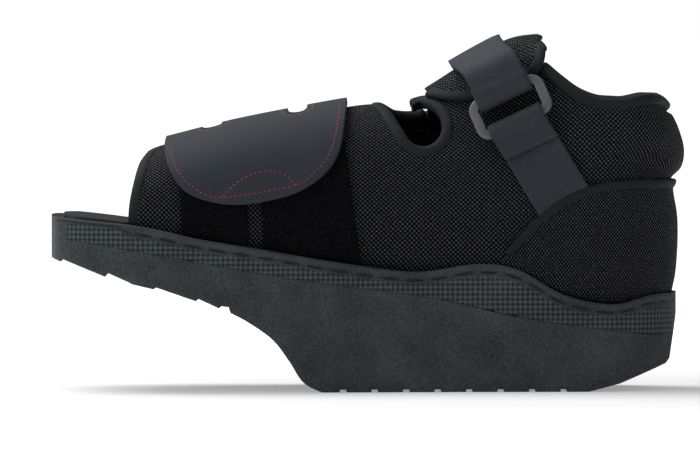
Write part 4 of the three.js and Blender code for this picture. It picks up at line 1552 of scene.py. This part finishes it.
@dataclass
class Instep:
    """Mesh flap over the instep, under the ankle strap, with its taped edge."""

    layer: tuple[float, float] = (GAP, 2.4)
    spans: tuple[Point2, Point2] = ((0.28, 1.0), (1.0, 4.6))
    grid: tuple[int, int] = (170, 120)
    tape: tuple[float, float] = (5.2, 2.8)
    tape_crest: float = 75.0
    above: float = 220.0
    edge_top: float = 180.0
    cut: Cut = Cut(73.0, 50.0)
    near: tuple[Point2, ...] = (
        (26.5, 131.0), (43.5, 129.8), (60, 134.4), (69, 138.2), (73.8, 142.8), (75.4, 147.4), (75.6, 151.4),
    )
    far: tuple[Point2, ...] = ((26.5, 131.0), (50, 110), (74, 118), (74.5, 150))

    def build(self, finishes: Finishes) -> None:
        """Make the flap and its tape.

        Args:
            finishes: the shoe's finishes.
        """
        sides = (("near", self.near), ("far", self.far))
        crest_end = self.far[-1][0]
        closed = {}
        for side, rows in sides:
            closed[side] = np.vstack([rows, [(crest_end, self.above), (rows[0][0], self.above)]])

        def stays(middles: np.ndarray) -> np.ndarray:
            """Keep what lies above the flap's edge on each side."""
            x, y, z = middles.T
            return np.where(y < 0, inside(closed["near"], x, z), inside(closed["far"], x, z))

        lines = [np.array(self.near), np.array([self.near[-1], (crest_end, self.edge_top)])]
        layer = (*self.layer, *self.spans, self.grid, stays)
        flap = Overlay("instep_mesh", "instep_flap", Slot.KNIT, *layer, self.cut, lines)
        flap.build(finishes.knit("instep_knit", *UPPER_KNIT))
        grow = self.layer[0] + self.tape[1] / 2.0
        rows = smooth_line(self.near, 14)
        middle = (crest_spot(self.tape_crest, grow)[0], math.pi)
        tape = Tape("instep_tape", *self.tape, grow, rows, middle, far_rows=0)
        settle(tape.build(finishes.tape_cloth()), Slot.TAPE, "instep_flap_binding")


# Webbing and the ring buckle


@dataclass(frozen=True)
class RingFrame:
    """Place of the ring buckle on the ankle, and its sizes in millimetres."""

    x: float = 62.6
    z: float = 125.0
    slope: float = 0.48
    length: float = 36.0
    height: float = 19.0
    bar: float = 4.4
    corner: float = 3.4
    upper_grow: float = 7.25
    lower_grow: float = 5.1
    webbing: float = 25.4
    squareness: float = 0.38
    depth: float = 0.42

    @property
    def bar_up(self) -> float:
        """Distance of a long bar from the ring's middle."""
        return (self.height - self.bar) / 2.0

    def flat(self, along: np.ndarray, up: np.ndarray) -> tuple[np.ndarray, np.ndarray]:
        """Side-view place of a spot given along and across the long bars.

        Args:
            along: places along the ring's long bars.
            up: heights across the ring's long bars.

        Returns:
            Places along the shoe and heights.
        """
        turn = math.atan(self.slope)
        x = self.x + along * math.cos(turn) - up * math.sin(turn)
        return x, self.z + along * math.sin(turn) + up * math.cos(turn)

    def on_wall(self, along: np.ndarray, up: np.ndarray, grow: np.ndarray | float) -> np.ndarray:
        """Points on the near ankle wall, held off it by a distance.

        Args:
            along: places along the ring's long bars.
            up: heights across the ring's long bars.
            grow: distance outside the knitted wall, in millimetres.

        Returns:
            Rows of x, y and z.
        """
        x, z = self.flat(np.asarray(along, dtype=float), np.asarray(up, dtype=float))
        u, angle = FORM.locate(x, z, grow=grow)
        return FORM.point(u, angle, grow)

    def axes(self) -> tuple[np.ndarray, ...]:
        """Middle, long direction, short direction and outward direction of the ring.

        Returns:
            The middle and the three unit directions.
        """
        reach = np.array([-1.0, 1.0]) * self.webbing / 2.0
        upper = self.on_wall(reach, np.full(2, self.bar_up), self.upper_grow)
        lower = self.on_wall(reach, np.full(2, -self.bar_up), self.lower_grow)
        along = unit(upper[1] - upper[0] + lower[1] - lower[0])
        up = upper.sum(axis=0) - lower.sum(axis=0)
        up = unit(up - along * (up @ along))
        return (upper.sum(axis=0) + lower.sum(axis=0)) / 4.0, along, up, np.cross(along, up)

    def place(self, along: np.ndarray, up: np.ndarray, out: np.ndarray) -> np.ndarray:
        """Points given in the ring's own directions."""
        middle, ex, ey, ez = self.axes()
        return middle + along[:, None] * ex + up[:, None] * ey + out[:, None] * ez

    def build(self, finishes: Finishes) -> None:
        """A rounded rectangle of a rounded bar.

        Args:
            finishes: the shoe's finishes.
        """
        patch = Patch(120, 24)
        x, y, out_x, out_y = self.outline(patch.a)
        wide, deep = rounded(patch.b * TAU, self.squareness)
        wide = wide * self.bar / 2.0
        points = self.place(x + out_x * wide, y + out_y * wide, deep * self.bar * self.depth)
        ring = patch.lay(points).finish("ring_plastic", finishes.ring_plastic())
        settle(ring, Slot.RING, "buckle_ring")

    def outline(self, share: np.ndarray) -> tuple[np.ndarray, ...]:
        """Middle line of the bar and its outward direction, at shares of the way round.

        Args:
            share: shares of the way round.

        Returns:
            The middle line's two coordinates and its outward direction's two.
        """
        hx, hy = (self.length - self.bar) / 2.0, self.bar_up
        radius = self.corner
        arc = math.pi / 2.0 * radius
        sides = [2.0 * (hy - radius), 2.0 * (hx - radius)] * 2
        run = share * (sum(sides) + 4.0 * arc)
        x, y = np.zeros_like(run), np.zeros_like(run)
        nx, ny = np.zeros_like(run), np.zeros_like(run)
        start = 0.0
        corners = ((1, 1), (-1, 1), (-1, -1), (1, -1))
        for index, (length, (cx, cy)) in enumerate(zip(sides, corners)):
            facing = index * math.pi / 2.0
            ox, oy = math.cos(facing), math.sin(facing)
            straight = (run >= start) & (run <= start + length + TINY)
            back = start + length - run
            corner_x, corner_y = cx * (hx - radius), cy * (hy - radius)
            x = np.where(straight, corner_x + ox * radius + oy * back, x)
            y = np.where(straight, corner_y + oy * radius - ox * back, y)
            nx, ny = np.where(straight, ox, nx), np.where(straight, oy, ny)
            start += length
            bend = (run > start + TINY) & (run <= start + arc + TINY)
            turn = facing + (run - start) / radius
            x = np.where(bend, corner_x + radius * np.cos(turn), x)
            y = np.where(bend, corner_y + radius * np.sin(turn), y)
            nx, ny = np.where(bend, np.cos(turn), nx), np.where(bend, np.sin(turn), ny)
            start += arc
        return x, y, nx, ny


RING = RingFrame()


@dataclass
class Webbing:
    """The ankle strap over the instep and the anchor strap from the heel, looped round the ring."""

    thick: float = 1.7
    loop: float = 3.3
    over_flap: float = 3.95
    on_knit: float = 1.2
    crest_lift: float = 2.6
    far_low: float = -46.0
    far_shift: float = 3.0
    heel_low: float = -60.0
    tape_gap: float = 0.4
    fold_gap: float = 0.15
    ankle_ease: tuple[float, float] = (0.72, 0.28)
    anchor_ease: tuple[float, float] = (0.7, 0.3)
    ankle_shares: tuple[float, float] = (0.12, 0.06)
    anchor_shares: tuple[float, float] = (0.66, 0.12)
    ankle_run: float = 150.0
    anchor_run: float = 90.0
    tail: float = 7.0
    fold: float = 13.0
    crest_spread: float = 0.42
    seam_drops: tuple[float, ...] = (10.2, 11.6)
    seam_half: float = 11.5
    seam_gap: float = 0.3
    stitch: tuple[float, float, float] = (1.7, 0.5, 2.3)
    lean: tuple[Point2, ...] = ((-52.0, 3.6), (-12.7, 0.0), (0.0, 0.4), (5.8, 0.6), (28.0, -3.2))
    ankle_cut: Cut = Cut(RING.webbing, 157.0)
    anchor_cut: Cut = Cut(RING.webbing, 65.0)

    def build(self, finishes: Finishes) -> None:
        """Make both straps.

        Args:
            finishes: the shoe's finishes.
        """
        cloth = finishes.webbing_cloth()
        ankle, anchor = self.ankle(cloth), self.anchor(cloth)
        settle(ankle, Slot.WEBBING, "ankle_strap")
        settle(anchor, Slot.WEBBING, "anchor_strap")
        self.ankle_cut.declare(ankle, "instep_mesh")
        self.anchor_cut.declare(anchor, "upper_knit")
        self.sewing().build(finishes.thread("dark_thread", finishes.webbing))

    def drift(self, up: np.ndarray) -> np.ndarray:
        """Sideways run of the webbing's middle line at a height in the ring's side view."""
        return np.interp(up, *zip(*self.lean))

    def sheet(self, name: str, patch: Patch, points: np.ndarray, run: np.ndarray, across: np.ndarray,
              cloth: bpy.types.Material) -> bpy.types.Object:
        """Give a laid strap its thickness, half to each side.

        Args:
            name: name of the new object.
            patch: the grid to lay.
            points: rows of x, y and z in millimetres.
            run: places along the webbing.
            across: places across the webbing.
            cloth: its woven finish.

        Returns:
            The new object.
        """
        patch.lay(points).weave_map(np.stack([run, across], axis=1))
        obj = patch.finish(name, cloth)
        face_outwards(obj, ANKLE_MIDDLE)
        wall = obj.modifiers.new("wall", "SOLIDIFY")
        wall.thickness = self.thick * MM
        wall.offset = 0.0
        return obj

    def ankle(self, cloth: bpy.types.Material) -> bpy.types.Object:
        """From the far quarter over the instep, over the ring's upper bar and back under itself.

        Args:
            cloth: its woven finish.

        Returns:
            The new object.
        """
        patch = Patch(150, 16)
        across = (patch.b - 0.5) * RING.webbing
        bar = RING.bar_up
        curl_share, tail_share = self.ankle_shares
        wall_share = 1.0 - curl_share - tail_share
        near_x, near_z = RING.flat(across + self.drift(np.full_like(across, bar)), np.full_like(across, bar))
        near_angle = FORM.locate(near_x, near_z)[1]
        far_x, far_z = RING.flat(across + self.far_shift, np.full_like(across, self.far_low))
        far_angle = FORM.locate(far_x, far_z, near=False)[1]
        share = np.clip(patch.a / wall_share, 0.0, 1.0)
        angle = far_angle + (near_angle - far_angle) * share
        ease = smooth_share(part(share, *self.ankle_ease))
        lift = self.crest_lift * np.exp(-(((angle - math.pi) / self.crest_spread) ** 2))
        grow = self.over_flap + lift + ease * (RING.upper_grow + self.loop - self.over_flap)
        u = self.follow(angle, across, grow)
        points = FORM.point(u, angle, grow)
        up = self.side_up(points)
        over = RING.place(across, np.maximum(up, bar), np.full_like(up, self.loop))
        points = points + (over - points) * (ease**2)[:, None]
        turn = math.pi / 2.0 + math.pi * part(patch.a, wall_share, curl_share)
        back = part(patch.a, wall_share + curl_share, tail_share) * self.tail
        curled = RING.place(across, bar + self.loop * np.cos(turn) + back, self.loop * np.sin(turn))
        points = np.where((patch.a >= wall_share)[:, None], curled, points)
        return self.sheet("ankle_webbing", patch, points, patch.a * self.ankle_run, across, cloth)

    def follow(self, angle: np.ndarray, across: np.ndarray, grow: np.ndarray) -> np.ndarray:
        """Section shares where the strap's place across itself is met at each angle.

        Args:
            angle: section angles.
            across: places across the webbing.
            grow: distance outside the knitted wall, in millimetres.

        Returns:
            The section shares.
        """
        ankle_from = 0.25

        def before(share: np.ndarray) -> np.ndarray:
            """Tell which section shares lie in front of the strap's place."""
            place = FORM.point(share, angle, grow)
            return self.side_along(place) - self.drift(self.side_up(place)) < across

        return bisect(np.full_like(angle, ankle_from), np.ones_like(angle), before)

    def side_up(self, points: np.ndarray) -> np.ndarray:
        """Height of points across the ring's long bars, seen from the side."""
        turn = math.atan(RING.slope)
        return (points[:, 2] - RING.z) * math.cos(turn) - (points[:, 0] - RING.x) * math.sin(turn)

    def side_along(self, points: np.ndarray) -> np.ndarray:
        """Place of points along the ring's long bars, seen from the side."""
        turn = math.atan(RING.slope)
        return (points[:, 0] - RING.x) * math.cos(turn) + (points[:, 2] - RING.z) * math.sin(turn)

    def anchor(self, cloth: bpy.types.Material) -> bpy.types.Object:
        """From under the heel overlay's tape up, round the ring's lower bar and down again.

        Args:
            cloth: its woven finish.

        Returns:
            The new object.
        """
        patch = Patch(130, 16)
        across = (patch.b - 0.5) * RING.webbing
        bar = -RING.bar_up
        wall_share, curl_share = self.anchor_shares
        share = np.clip(patch.a / wall_share, 0.0, 1.0)
        low = self.heel_end(across)
        up = low + (bar - low) * share
        ease = smooth_share(part(share, *self.anchor_ease))
        grow = self.on_knit + ease * (RING.lower_grow - self.loop - self.on_knit)
        points = RING.on_wall(across + self.drift(up), up, grow)
        behind = RING.place(across, up, np.full_like(up, -self.loop))
        points = points + (behind - points) * (ease**2)[:, None]
        turn = -math.pi / 2.0 + math.pi * part(patch.a, wall_share, curl_share)
        curled = RING.place(across, bar + self.loop * np.cos(turn), self.loop * np.sin(turn))
        points = np.where((patch.a >= wall_share)[:, None], curled, points)
        curl_end = wall_share + curl_share
        down = part(patch.a, curl_end, 1.0 - curl_end)
        fall = bar - self.fold * down
        folded = RING.on_wall(across + self.drift(fall), fall, self.on_knit + self.thick + self.fold_gap)
        outer = RING.place(across, fall, np.full_like(fall, self.loop))
        outer = outer + (folded - outer) * smooth_share(down)[:, None]
        points = np.where((down > 0)[:, None], outer, points)
        return self.sheet("anchor_webbing", patch, points, patch.a * self.anchor_run, across, cloth)

    def heel_end(self, across: np.ndarray) -> np.ndarray:
        """Height in the ring's side view where the anchor strap goes under the heel tape.

        Args:
            across: places across the webbing.

        Returns:
            Heights in the ring's side view.
        """
        top = height_reader(LINES.counter)

        def under(up: np.ndarray) -> np.ndarray:
            """Tell which heights lie under the tape."""
            x, z = RING.flat(across + self.drift(up), up)
            return z < top(x) + self.tape_gap

        return bisect(np.full_like(across, self.heel_low), np.full_like(across, -RING.bar_up), under)

    def sewing(self) -> Stitching:
        """A row of thread across the folded end of the anchor strap.

        Returns:
            The sewing, not yet built.
        """
        across = np.linspace(-self.seam_half, self.seam_half, 20)
        rows = []
        for drop in self.seam_drops:
            up = np.full_like(across, -RING.bar_up - drop)
            grow = self.on_knit + 1.5 * self.thick + self.seam_gap
            points = RING.on_wall(across + self.drift(up), up, grow)
            u, angle = FORM.locate(*RING.flat(across, up))
            rows.append((points, FORM.normal(u, angle)))
        return Stitching("anchor_sewing", Slot.WEBBING, *self.stitch, rows)


# The sole unit and the insole


@dataclass(frozen=True)
class SoleLines:
    """Side profile and details of the sole unit, in millimetres."""

    plan: tuple[Point2, ...] = (
        # place along the shoe, half-width
        (-140, 0), (-139.7, 12), (-138.8, 24), (-135.5, 38), (-122, 47.5), (-98, 52.5), (-70, 53), (-35, 50),
        (0, 46.5), (40, 42.5), (80, 41), (105, 38.5), (124, 29), (133, 17), (135.6, 7), (136.2, 0),
    )
    steps: tuple[Point2, ...] = (
        (-140, 58.8), (-135, 57.2), (-134, 58.2), (-115.4, 50.8), (-114, 52.4), (-105, 48.4), (-103.6, 47.6),
        (-94.2, 45.4), (-93, 46.2), (-75.6, 40.2), (-74.4, 41.2), (-65.4, 37.0), (-64.4, 38.0), (-61.2, 37.6),
        (-60.4, 35.0),
    )
    rocker: tuple[Point2, ...] = (
        (-60.4, 35.0), (-52.9, 31.0), (-42, 23.2), (-34.6, 13.6), (-28.7, 4.6), (-21.5, 0.5), (-19, 0),
    )
    heel: tuple[Point2, ...] = ((97, 0), (110.8, 3.5), (131.2, 11.9), (133, 14), (136.2, 34.0))
    band_low: tuple[Point2, ...] = (
        (-140, 64.5), (-127, 66.0), (-56, 53.7), (-37.5, 50.4), (-18, 47.7), (8, 44.3), (22.8, 42.2),
        (40.4, 38.7), (60.6, 33.9), (86, 29.5), (121, 25.1), (136.2, 23.3),
    )
    tread_first: float = -11.0
    tread_pitch: float = 13.85
    tread_count: int = 8
    tread_width: float = 2.8
    tread_depth: float = 1.2
    roll: float = 1.55
    groove: float = 3.9
    band_top: float = 5.2
    roll_from: float = -104.0
    toe_top: Point2 = (-138.3, 77.0)
    band_from: float = -132.0
    band_clear: float = 2.4
    band_least: float = 0.4
    floor_drop: float = 0.4
    roll_fade: float = 6.0
    toe_squeeze: float = 0.35
    toe_inset: float = 4.4
    wall_top: float = 0.6
    wall_foot: float = 1.6
    narrow: float = 12.0
    to_middle: float = 1000.0
    thread_inset: float = 0.8
    ledge: float = 0.35
    stitch: tuple[float, float, float] = (9.0, 1.1, 11.0)
    stitch_sink: float = 0.1


class Sole:
    """The moulded sole unit: rolled lip, stitched groove, dimpled band, smooth wall and tread."""

    def __init__(self, lines: SoleLines = SoleLines()) -> None:
        """Read the profile once.

        Args:
            lines: the sole's profile.
        """
        self.lines = lines
        plan = smooth_line(lines.plan, 400)
        plan[:, 0] = np.maximum.accumulate(plan[:, 0])
        self.plan_line = plan
        rocker = smooth_line(lines.rocker, 30)
        tread: list[Point2] = []
        slant = 0.05
        for groove in range(lines.tread_count):
            middle = lines.tread_first + groove * lines.tread_pitch
            low, high = middle - lines.tread_width / 2.0, middle + lines.tread_width / 2.0
            tread += [(low - slant, 0.0), (low + slant, lines.tread_depth)]
            tread += [(high - slant, lines.tread_depth), (high + slant, 0.0)]
        self.under = np.vstack([lines.steps, rocker[1:], tread, lines.heel])

    def half(self, x: np.ndarray) -> np.ndarray:
        """Half-width of the plan."""
        return np.interp(x, self.plan_line[:, 0], np.maximum(self.plan_line[:, 1], 0.0))

    def under_z(self, x: np.ndarray) -> np.ndarray:
        """Height of the underside."""
        return np.interp(x, self.under[:, 0], self.under[:, 1])

    def top_z(self, x: np.ndarray) -> np.ndarray:
        """Height of the wall's top: the roll, and the plain edge in front of it.

        Args:
            x: places along the shoe, in millimetres.

        Returns:
            Heights.
        """
        x0, z0 = self.lines.toe_top
        join = self.lines.roll_from
        slope = (float(rim_z(join)) - z0) / (join - x0)
        return np.where(x < join, z0 + slope * (x - x0), rim_z(x))

    def stations(self, pitch: float = 1.3) -> np.ndarray:
        """Places along the shoe: even round the plan, and at each corner of the underside.

        Args:
            pitch: distance between places, in millimetres.

        Returns:
            Places in rising order.
        """
        run = run_along(self.plan_line)
        even = np.interp(np.arange(0.0, run[-1], pitch), run, self.plan_line[:, 0])
        end = self.lines.plan[-1][:1]
        return np.unique(np.round(np.concatenate([even, self.under[:, 0], end]), 3))

    def section(self) -> list[tuple[str, float, float]]:
        """Rows of half a section, from the footbed's middle to the underside's middle.

        Each row names what its height is measured from, then the inset from the plan and the height.

        Returns:
            The rows.
        """
        middle, foot, ledge = self.lines.to_middle, self.lines.wall_foot, self.lines.ledge
        rows = [("floor", middle, 0.0), ("floor", 7.5, 0.0), ("floor", 5.2, 1.0)]
        radius = self.lines.roll
        for turn in np.linspace(math.radians(200), math.radians(-60), 10):
            rows.append(("roll", radius - 0.3 - radius * math.cos(turn), radius * math.sin(turn) - radius))
        groove = self.lines.groove
        rows += [("roll", 0.8, 0.55 - groove), ("roll", 1.1, 0.0 - groove), ("roll", 0.75, -0.6 - groove)]
        rows += [("roll", ledge, -self.lines.band_top)]
        rows += [("band", ledge, share) for share in (0.1, 0.3, 0.5, 0.7, 0.9, 1.0)]
        rows += [("line", ledge, 0.2), ("line", 0.12, 0.05), ("line", 0.0, -0.2)]
        rows += [("line", 0.0, -self.lines.wall_top)]
        rows += [("wall", 0.0, share) for share in (0.1, 0.3, 0.5, 0.7, 0.9)]
        rows += [("under", 0.0, foot), ("under", 0.35, 0.6), ("under", 1.3, 0.0), ("under", middle, 0.0)]
        return rows

    def build(self, finishes: Finishes) -> None:
        """Loft the sections from toe to heel and close them.

        Args:
            finishes: the shoe's finishes.
        """
        stations = self.stations()
        half_rows = self.section()
        rows = half_rows + half_rows[-2:0:-1]
        patch = Patch(len(stations) - 1, len(rows))
        index = np.rint(patch.a * (len(stations) - 1)).astype(int)
        ring = np.rint(patch.b * len(rows)).astype(int) % len(rows)
        x = stations[index]
        points, band = self.lay(x, ring, half_rows, len(rows))
        run = run_along(np.stack([stations, self.half(stations)], axis=1))
        patch.lay(points).weave_map(np.stack([run[index], points[:, 2]], axis=1))
        layer = patch.bm.verts.layers.float.new("band")
        for vert, value in zip(patch.bm.verts, band):
            vert[layer] = value
        settle(patch.finish("sole_foam", finishes.sole(), merge=0.005), Slot.SOLE, "sole")

    def lay(self, x: np.ndarray, ring: np.ndarray, half_rows: list,
            total: int) -> tuple[np.ndarray, np.ndarray]:
        """Place every corner of the loft, and tell how much each belongs to the dimpled band.

        Args:
            x: places along the shoe, in millimetres.
            ring: row of the section at each corner.
            half_rows: rows of half a section.
            total: rows of a whole section.

        Returns:
            The corners, and each one's share in the dimpled band.
        """
        lines = self.lines
        near = ring < len(half_rows)
        row = np.where(near, ring, total - ring)
        kind, inset, level = [np.array(column)[row] for column in zip(*half_rows)]
        half, top, under = self.half(x), self.top_z(x), self.under_z(x)
        fade = part(x, lines.roll_from - lines.roll_fade, lines.roll_fade)
        squeeze = lines.toe_squeeze + (1.0 - lines.toe_squeeze) * fade
        band_top = top - lines.band_top * squeeze
        lowest = under + lines.band_clear
        highest = np.maximum(band_top - lines.band_least, lowest + 0.1)
        low_line = np.clip(height_reader(lines.band_low)(x), lowest, highest)
        wall_top = low_line - lines.wall_top
        heights = {
            "floor": np.minimum(floor_z(x), top - lines.floor_drop) + level,
            "roll": top + level * squeeze,
            "band": band_top + (low_line - band_top) * level,
            "line": low_line + level,
            "wall": wall_top + (under + lines.wall_foot - wall_top) * level,
            "under": under + level,
        }
        z = np.select([kind == name for name in heights], list(heights.values()))
        plain = np.clip(inset, 0.0, lines.toe_inset)
        inset = np.where(kind == "roll", plain + (inset - plain) * fade, inset)
        y = np.maximum(half - inset * np.minimum(1.0, half / lines.narrow), 0.0)
        y = np.where(inset >= lines.to_middle, 0.0, y)
        band = ((kind == "band") & (x > lines.band_from)).astype(float)
        return np.stack([x, np.where(near, -y, y), np.maximum(z, under)], axis=1), band

    def sewing(self) -> Stitching:
        """Long stitches sunk in the groove under the roll, round both sides.

        Returns:
            The sewing, not yet built.
        """
        x = np.linspace(self.lines.roll_from, self.lines.plan[-2][0], 300)
        y = self.half(x) - self.lines.thread_inset
        z = self.top_z(x) - self.lines.groove
        slope = np.gradient(y, x)
        out = unit(np.stack([-slope, np.ones_like(slope), np.zeros_like(slope)], axis=1))
        far = np.stack([x, y, z], axis=1)
        mirror = np.array([1.0, -1.0, 1.0])
        routes = [(far * mirror, out * mirror), (far, out)]
        return Stitching("groove_sewing", Slot.SOLE, *self.lines.stitch, routes, self.lines.stitch_sink)


@dataclass
class Insole:
    """Thin footbed lining whose front edge shows at the open toe."""

    thick: float = 2.6
    inset: float = 4.85
    wall: float = 3.85
    front: float = -134.6
    back: float = 128.0
    knit_from: float = -106.0
    toe_round: float = 6.0
    toe_blunt: float = 0.05
    heel_round: float = 10.0
    least_half: float = 4.0

    def build(self, sole: Sole, finishes: Finishes) -> None:
        """Lay a sheet on the footbed and give it its thickness.

        Args:
            sole: the sole that it lies in.
            finishes: the shoe's finishes.
        """
        patch = Patch(150, 40)
        x = self.front + (self.back - self.front) * patch.a
        base = floor_z(x) + GAP
        round_toe = np.sqrt(np.clip((x - self.front) / self.toe_round + self.toe_blunt, 0.0, 1.0))
        round_heel = np.sqrt(part(x, self.back, -self.heel_round))
        toe = np.maximum(sole.half(x) - self.inset, self.least_half) * round_toe
        u, angle = FORM.locate(x, base + self.thick)
        foot = np.abs(FORM.point(u, angle, -self.wall)[:, 1]) * round_heel
        half = np.where(x < self.knit_from, toe, np.minimum(toe, foot))
        y = (2.0 * patch.b - 1.0) * half
        points = np.stack([x, y, base], axis=1)
        patch.lay(points).weave_map(points[:, :2])
        obj = patch.finish("insole_cloth", finishes.insole_cloth())
        face_outwards(obj, BELOW_SOLE)
        thicken(obj, self.thick, outwards=True)
        settle(obj, Slot.INSOLE, "insole")


def main() -> None:
    """Build the shoe's pieces in order."""
    logging.basicConfig(level=logging.INFO)
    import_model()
    cad_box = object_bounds()
    finishes = Finishes()
    sole = Sole()
    sole.build(finishes)
    sole.sewing().build(finishes.thread("black_thread", finishes.black))
    Insole().build(sole, finishes)
    Upper().build(finishes)
    Forefoot().build(finishes)
    Heel().build(finishes)
    Instep().build(finishes)
    RING.build(finishes)
    Webbing().build(finishes)
    Studio().build()
    report_size(cad_box)


def report_size(cad_box: Sequence[Sequence[float]]) -> None:
    """Gather the solids' box and the dressed model's box side by side as plain numbers.

    Args:
        cad_box: corners of the solids' box.
    """
    boxes = {"cad": cad_box, "visual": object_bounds()}
    plain = {name: [[float(v) for v in corner] for corner in box] for name, box in boxes.items()}


@dataclass
class Studio:
    """White floor and surround, soft lights and the camera at the photograph's angle."""

    look_at: tuple[float, float, float] = (-8.0, -30.0, 72.0)
    frame_width: float = 308.0
    lens: float = 600.0
    elevation: float = 1.5
    surround: float = 0.22
    # The floor's glow is painted light; near the shoe it is dimmed as a painted shadow
    glow: float = 1.0
    painted_shadow_glow: tuple[float, ...] = (0.3, 0.3, 0.3, 1.0)
    glow_reach: tuple[float, float] = (0.1, 0.75)
    floor_size: float = 30000.0
    floor_white: tuple[float, ...] = (0.56, 0.56, 0.56, 1.0)
    white: tuple[float, ...] = (1.0, 1.0, 1.0, 1.0)
    light_aim: tuple[float, float, float] = (0.0, 0.0, 80.0)
    panels: tuple[tuple, ...] = (
        # name, place in metres, size in metres, watts
        ("top_panel", (-0.5, 0.3, 1.0), 0.9, 15.0),
        ("toe_panel", (-1.0, -0.6, 0.7), 0.7, 5.0),
        ("heel_panel", (0.9, -0.7, 0.8), 0.6, 2.0),
    )

    def build(self) -> None:
        """Make the floor, the lights and the camera."""
        self.floor()
        self.lights()
        self.camera()

    def floor(self) -> None:
        """A broad flat white floor that glows as painted light, its glow dimmed near the shoe as a painted
        shadow round it.
        """
        looks = {"Base_Color": self.floor_white, "Emission_Strength": self.glow}
        shader = Shader("studio_white", Roughness=0.9, Specular_IOR_Level=0.0, **looks)
        place = shader.node("ShaderNodeTexCoord", None, None, "Object")
        away = shader.node("ShaderNodeVectorMath", {"operation": "LENGTH"}, {0: place}, "Value")
        shader.link("Emission Color", shader.mix(away.ramp(*self.glow_reach), self.painted_shadow_glow, self.white))
        patch = Patch(2, 2)
        x, y = (patch.a - 0.5) * self.floor_size, (patch.b - 0.5) * self.floor_size
        patch.lay(np.stack([x, y, np.zeros_like(x)], axis=1))
        patch.finish("studio_floor", shader.material)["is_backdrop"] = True

    def lights(self) -> None:
        """Soft panels above the shoe and in front of its toe and heel, and a dim even surround."""
        self.world()
        for name, place, size, watts in self.panels:
            light = bpy.data.lights.new(name, "AREA")
            light.shape = "DISK"
            light.size = size
            light.energy = watts
            lamp = bpy.data.objects.new(name, light)
            lamp.location = place
            aim = Vector(self.light_aim) * MM - Vector(place)
            lamp.rotation_euler = aim.to_track_quat("-Z", "Y").to_euler()
            bpy.context.scene.collection.objects.link(lamp)

    def world(self) -> None:
        """A surround that lights the shoe dimly and is plain white in the picture."""
        world = bpy.data.worlds.new("studio")
        world.use_nodes = True
        tree = world.node_tree
        dim = tree.nodes["Background"]
        dim.inputs["Color"].default_value = self.white
        dim.inputs["Strength"].default_value = self.surround
        plain = tree.nodes.new("ShaderNodeBackground")
        plain.inputs["Color"].default_value = self.white
        seen = tree.nodes.new("ShaderNodeLightPath")
        mix = tree.nodes.new("ShaderNodeMixShader")
        tree.links.new(seen.outputs["Is Camera Ray"], mix.inputs[0])
        tree.links.new(dim.outputs[0], mix.inputs[1])
        tree.links.new(plain.outputs[0], mix.inputs[2])
        tree.links.new(mix.outputs[0], tree.nodes["World Output"].inputs["Surface"])
        bpy.context.scene.world = world

    def camera(self) -> None:
        """A long lens, level with the shoe and a little above it."""
        data = bpy.data.cameras.new("camera")
        data.lens = self.lens
        data.clip_start = 0.05
        camera = bpy.data.objects.new("camera", data)
        target = Vector(self.look_at) * MM
        reach = self.frame_width * self.lens / data.sensor_width * MM
        lift = math.radians(self.elevation)
        camera.location = target + Vector((0.0, -math.cos(lift), math.sin(lift))) * reach
        camera.rotation_euler = (target - camera.location).to_track_quat("-Z", "Y").to_euler()
        bpy.context.scene.collection.objects.link(camera)
        bpy.context.scene.camera = camera
        bpy.context.scene.view_settings.view_transform = "Standard"


if __name__ == "__main__":
    main()
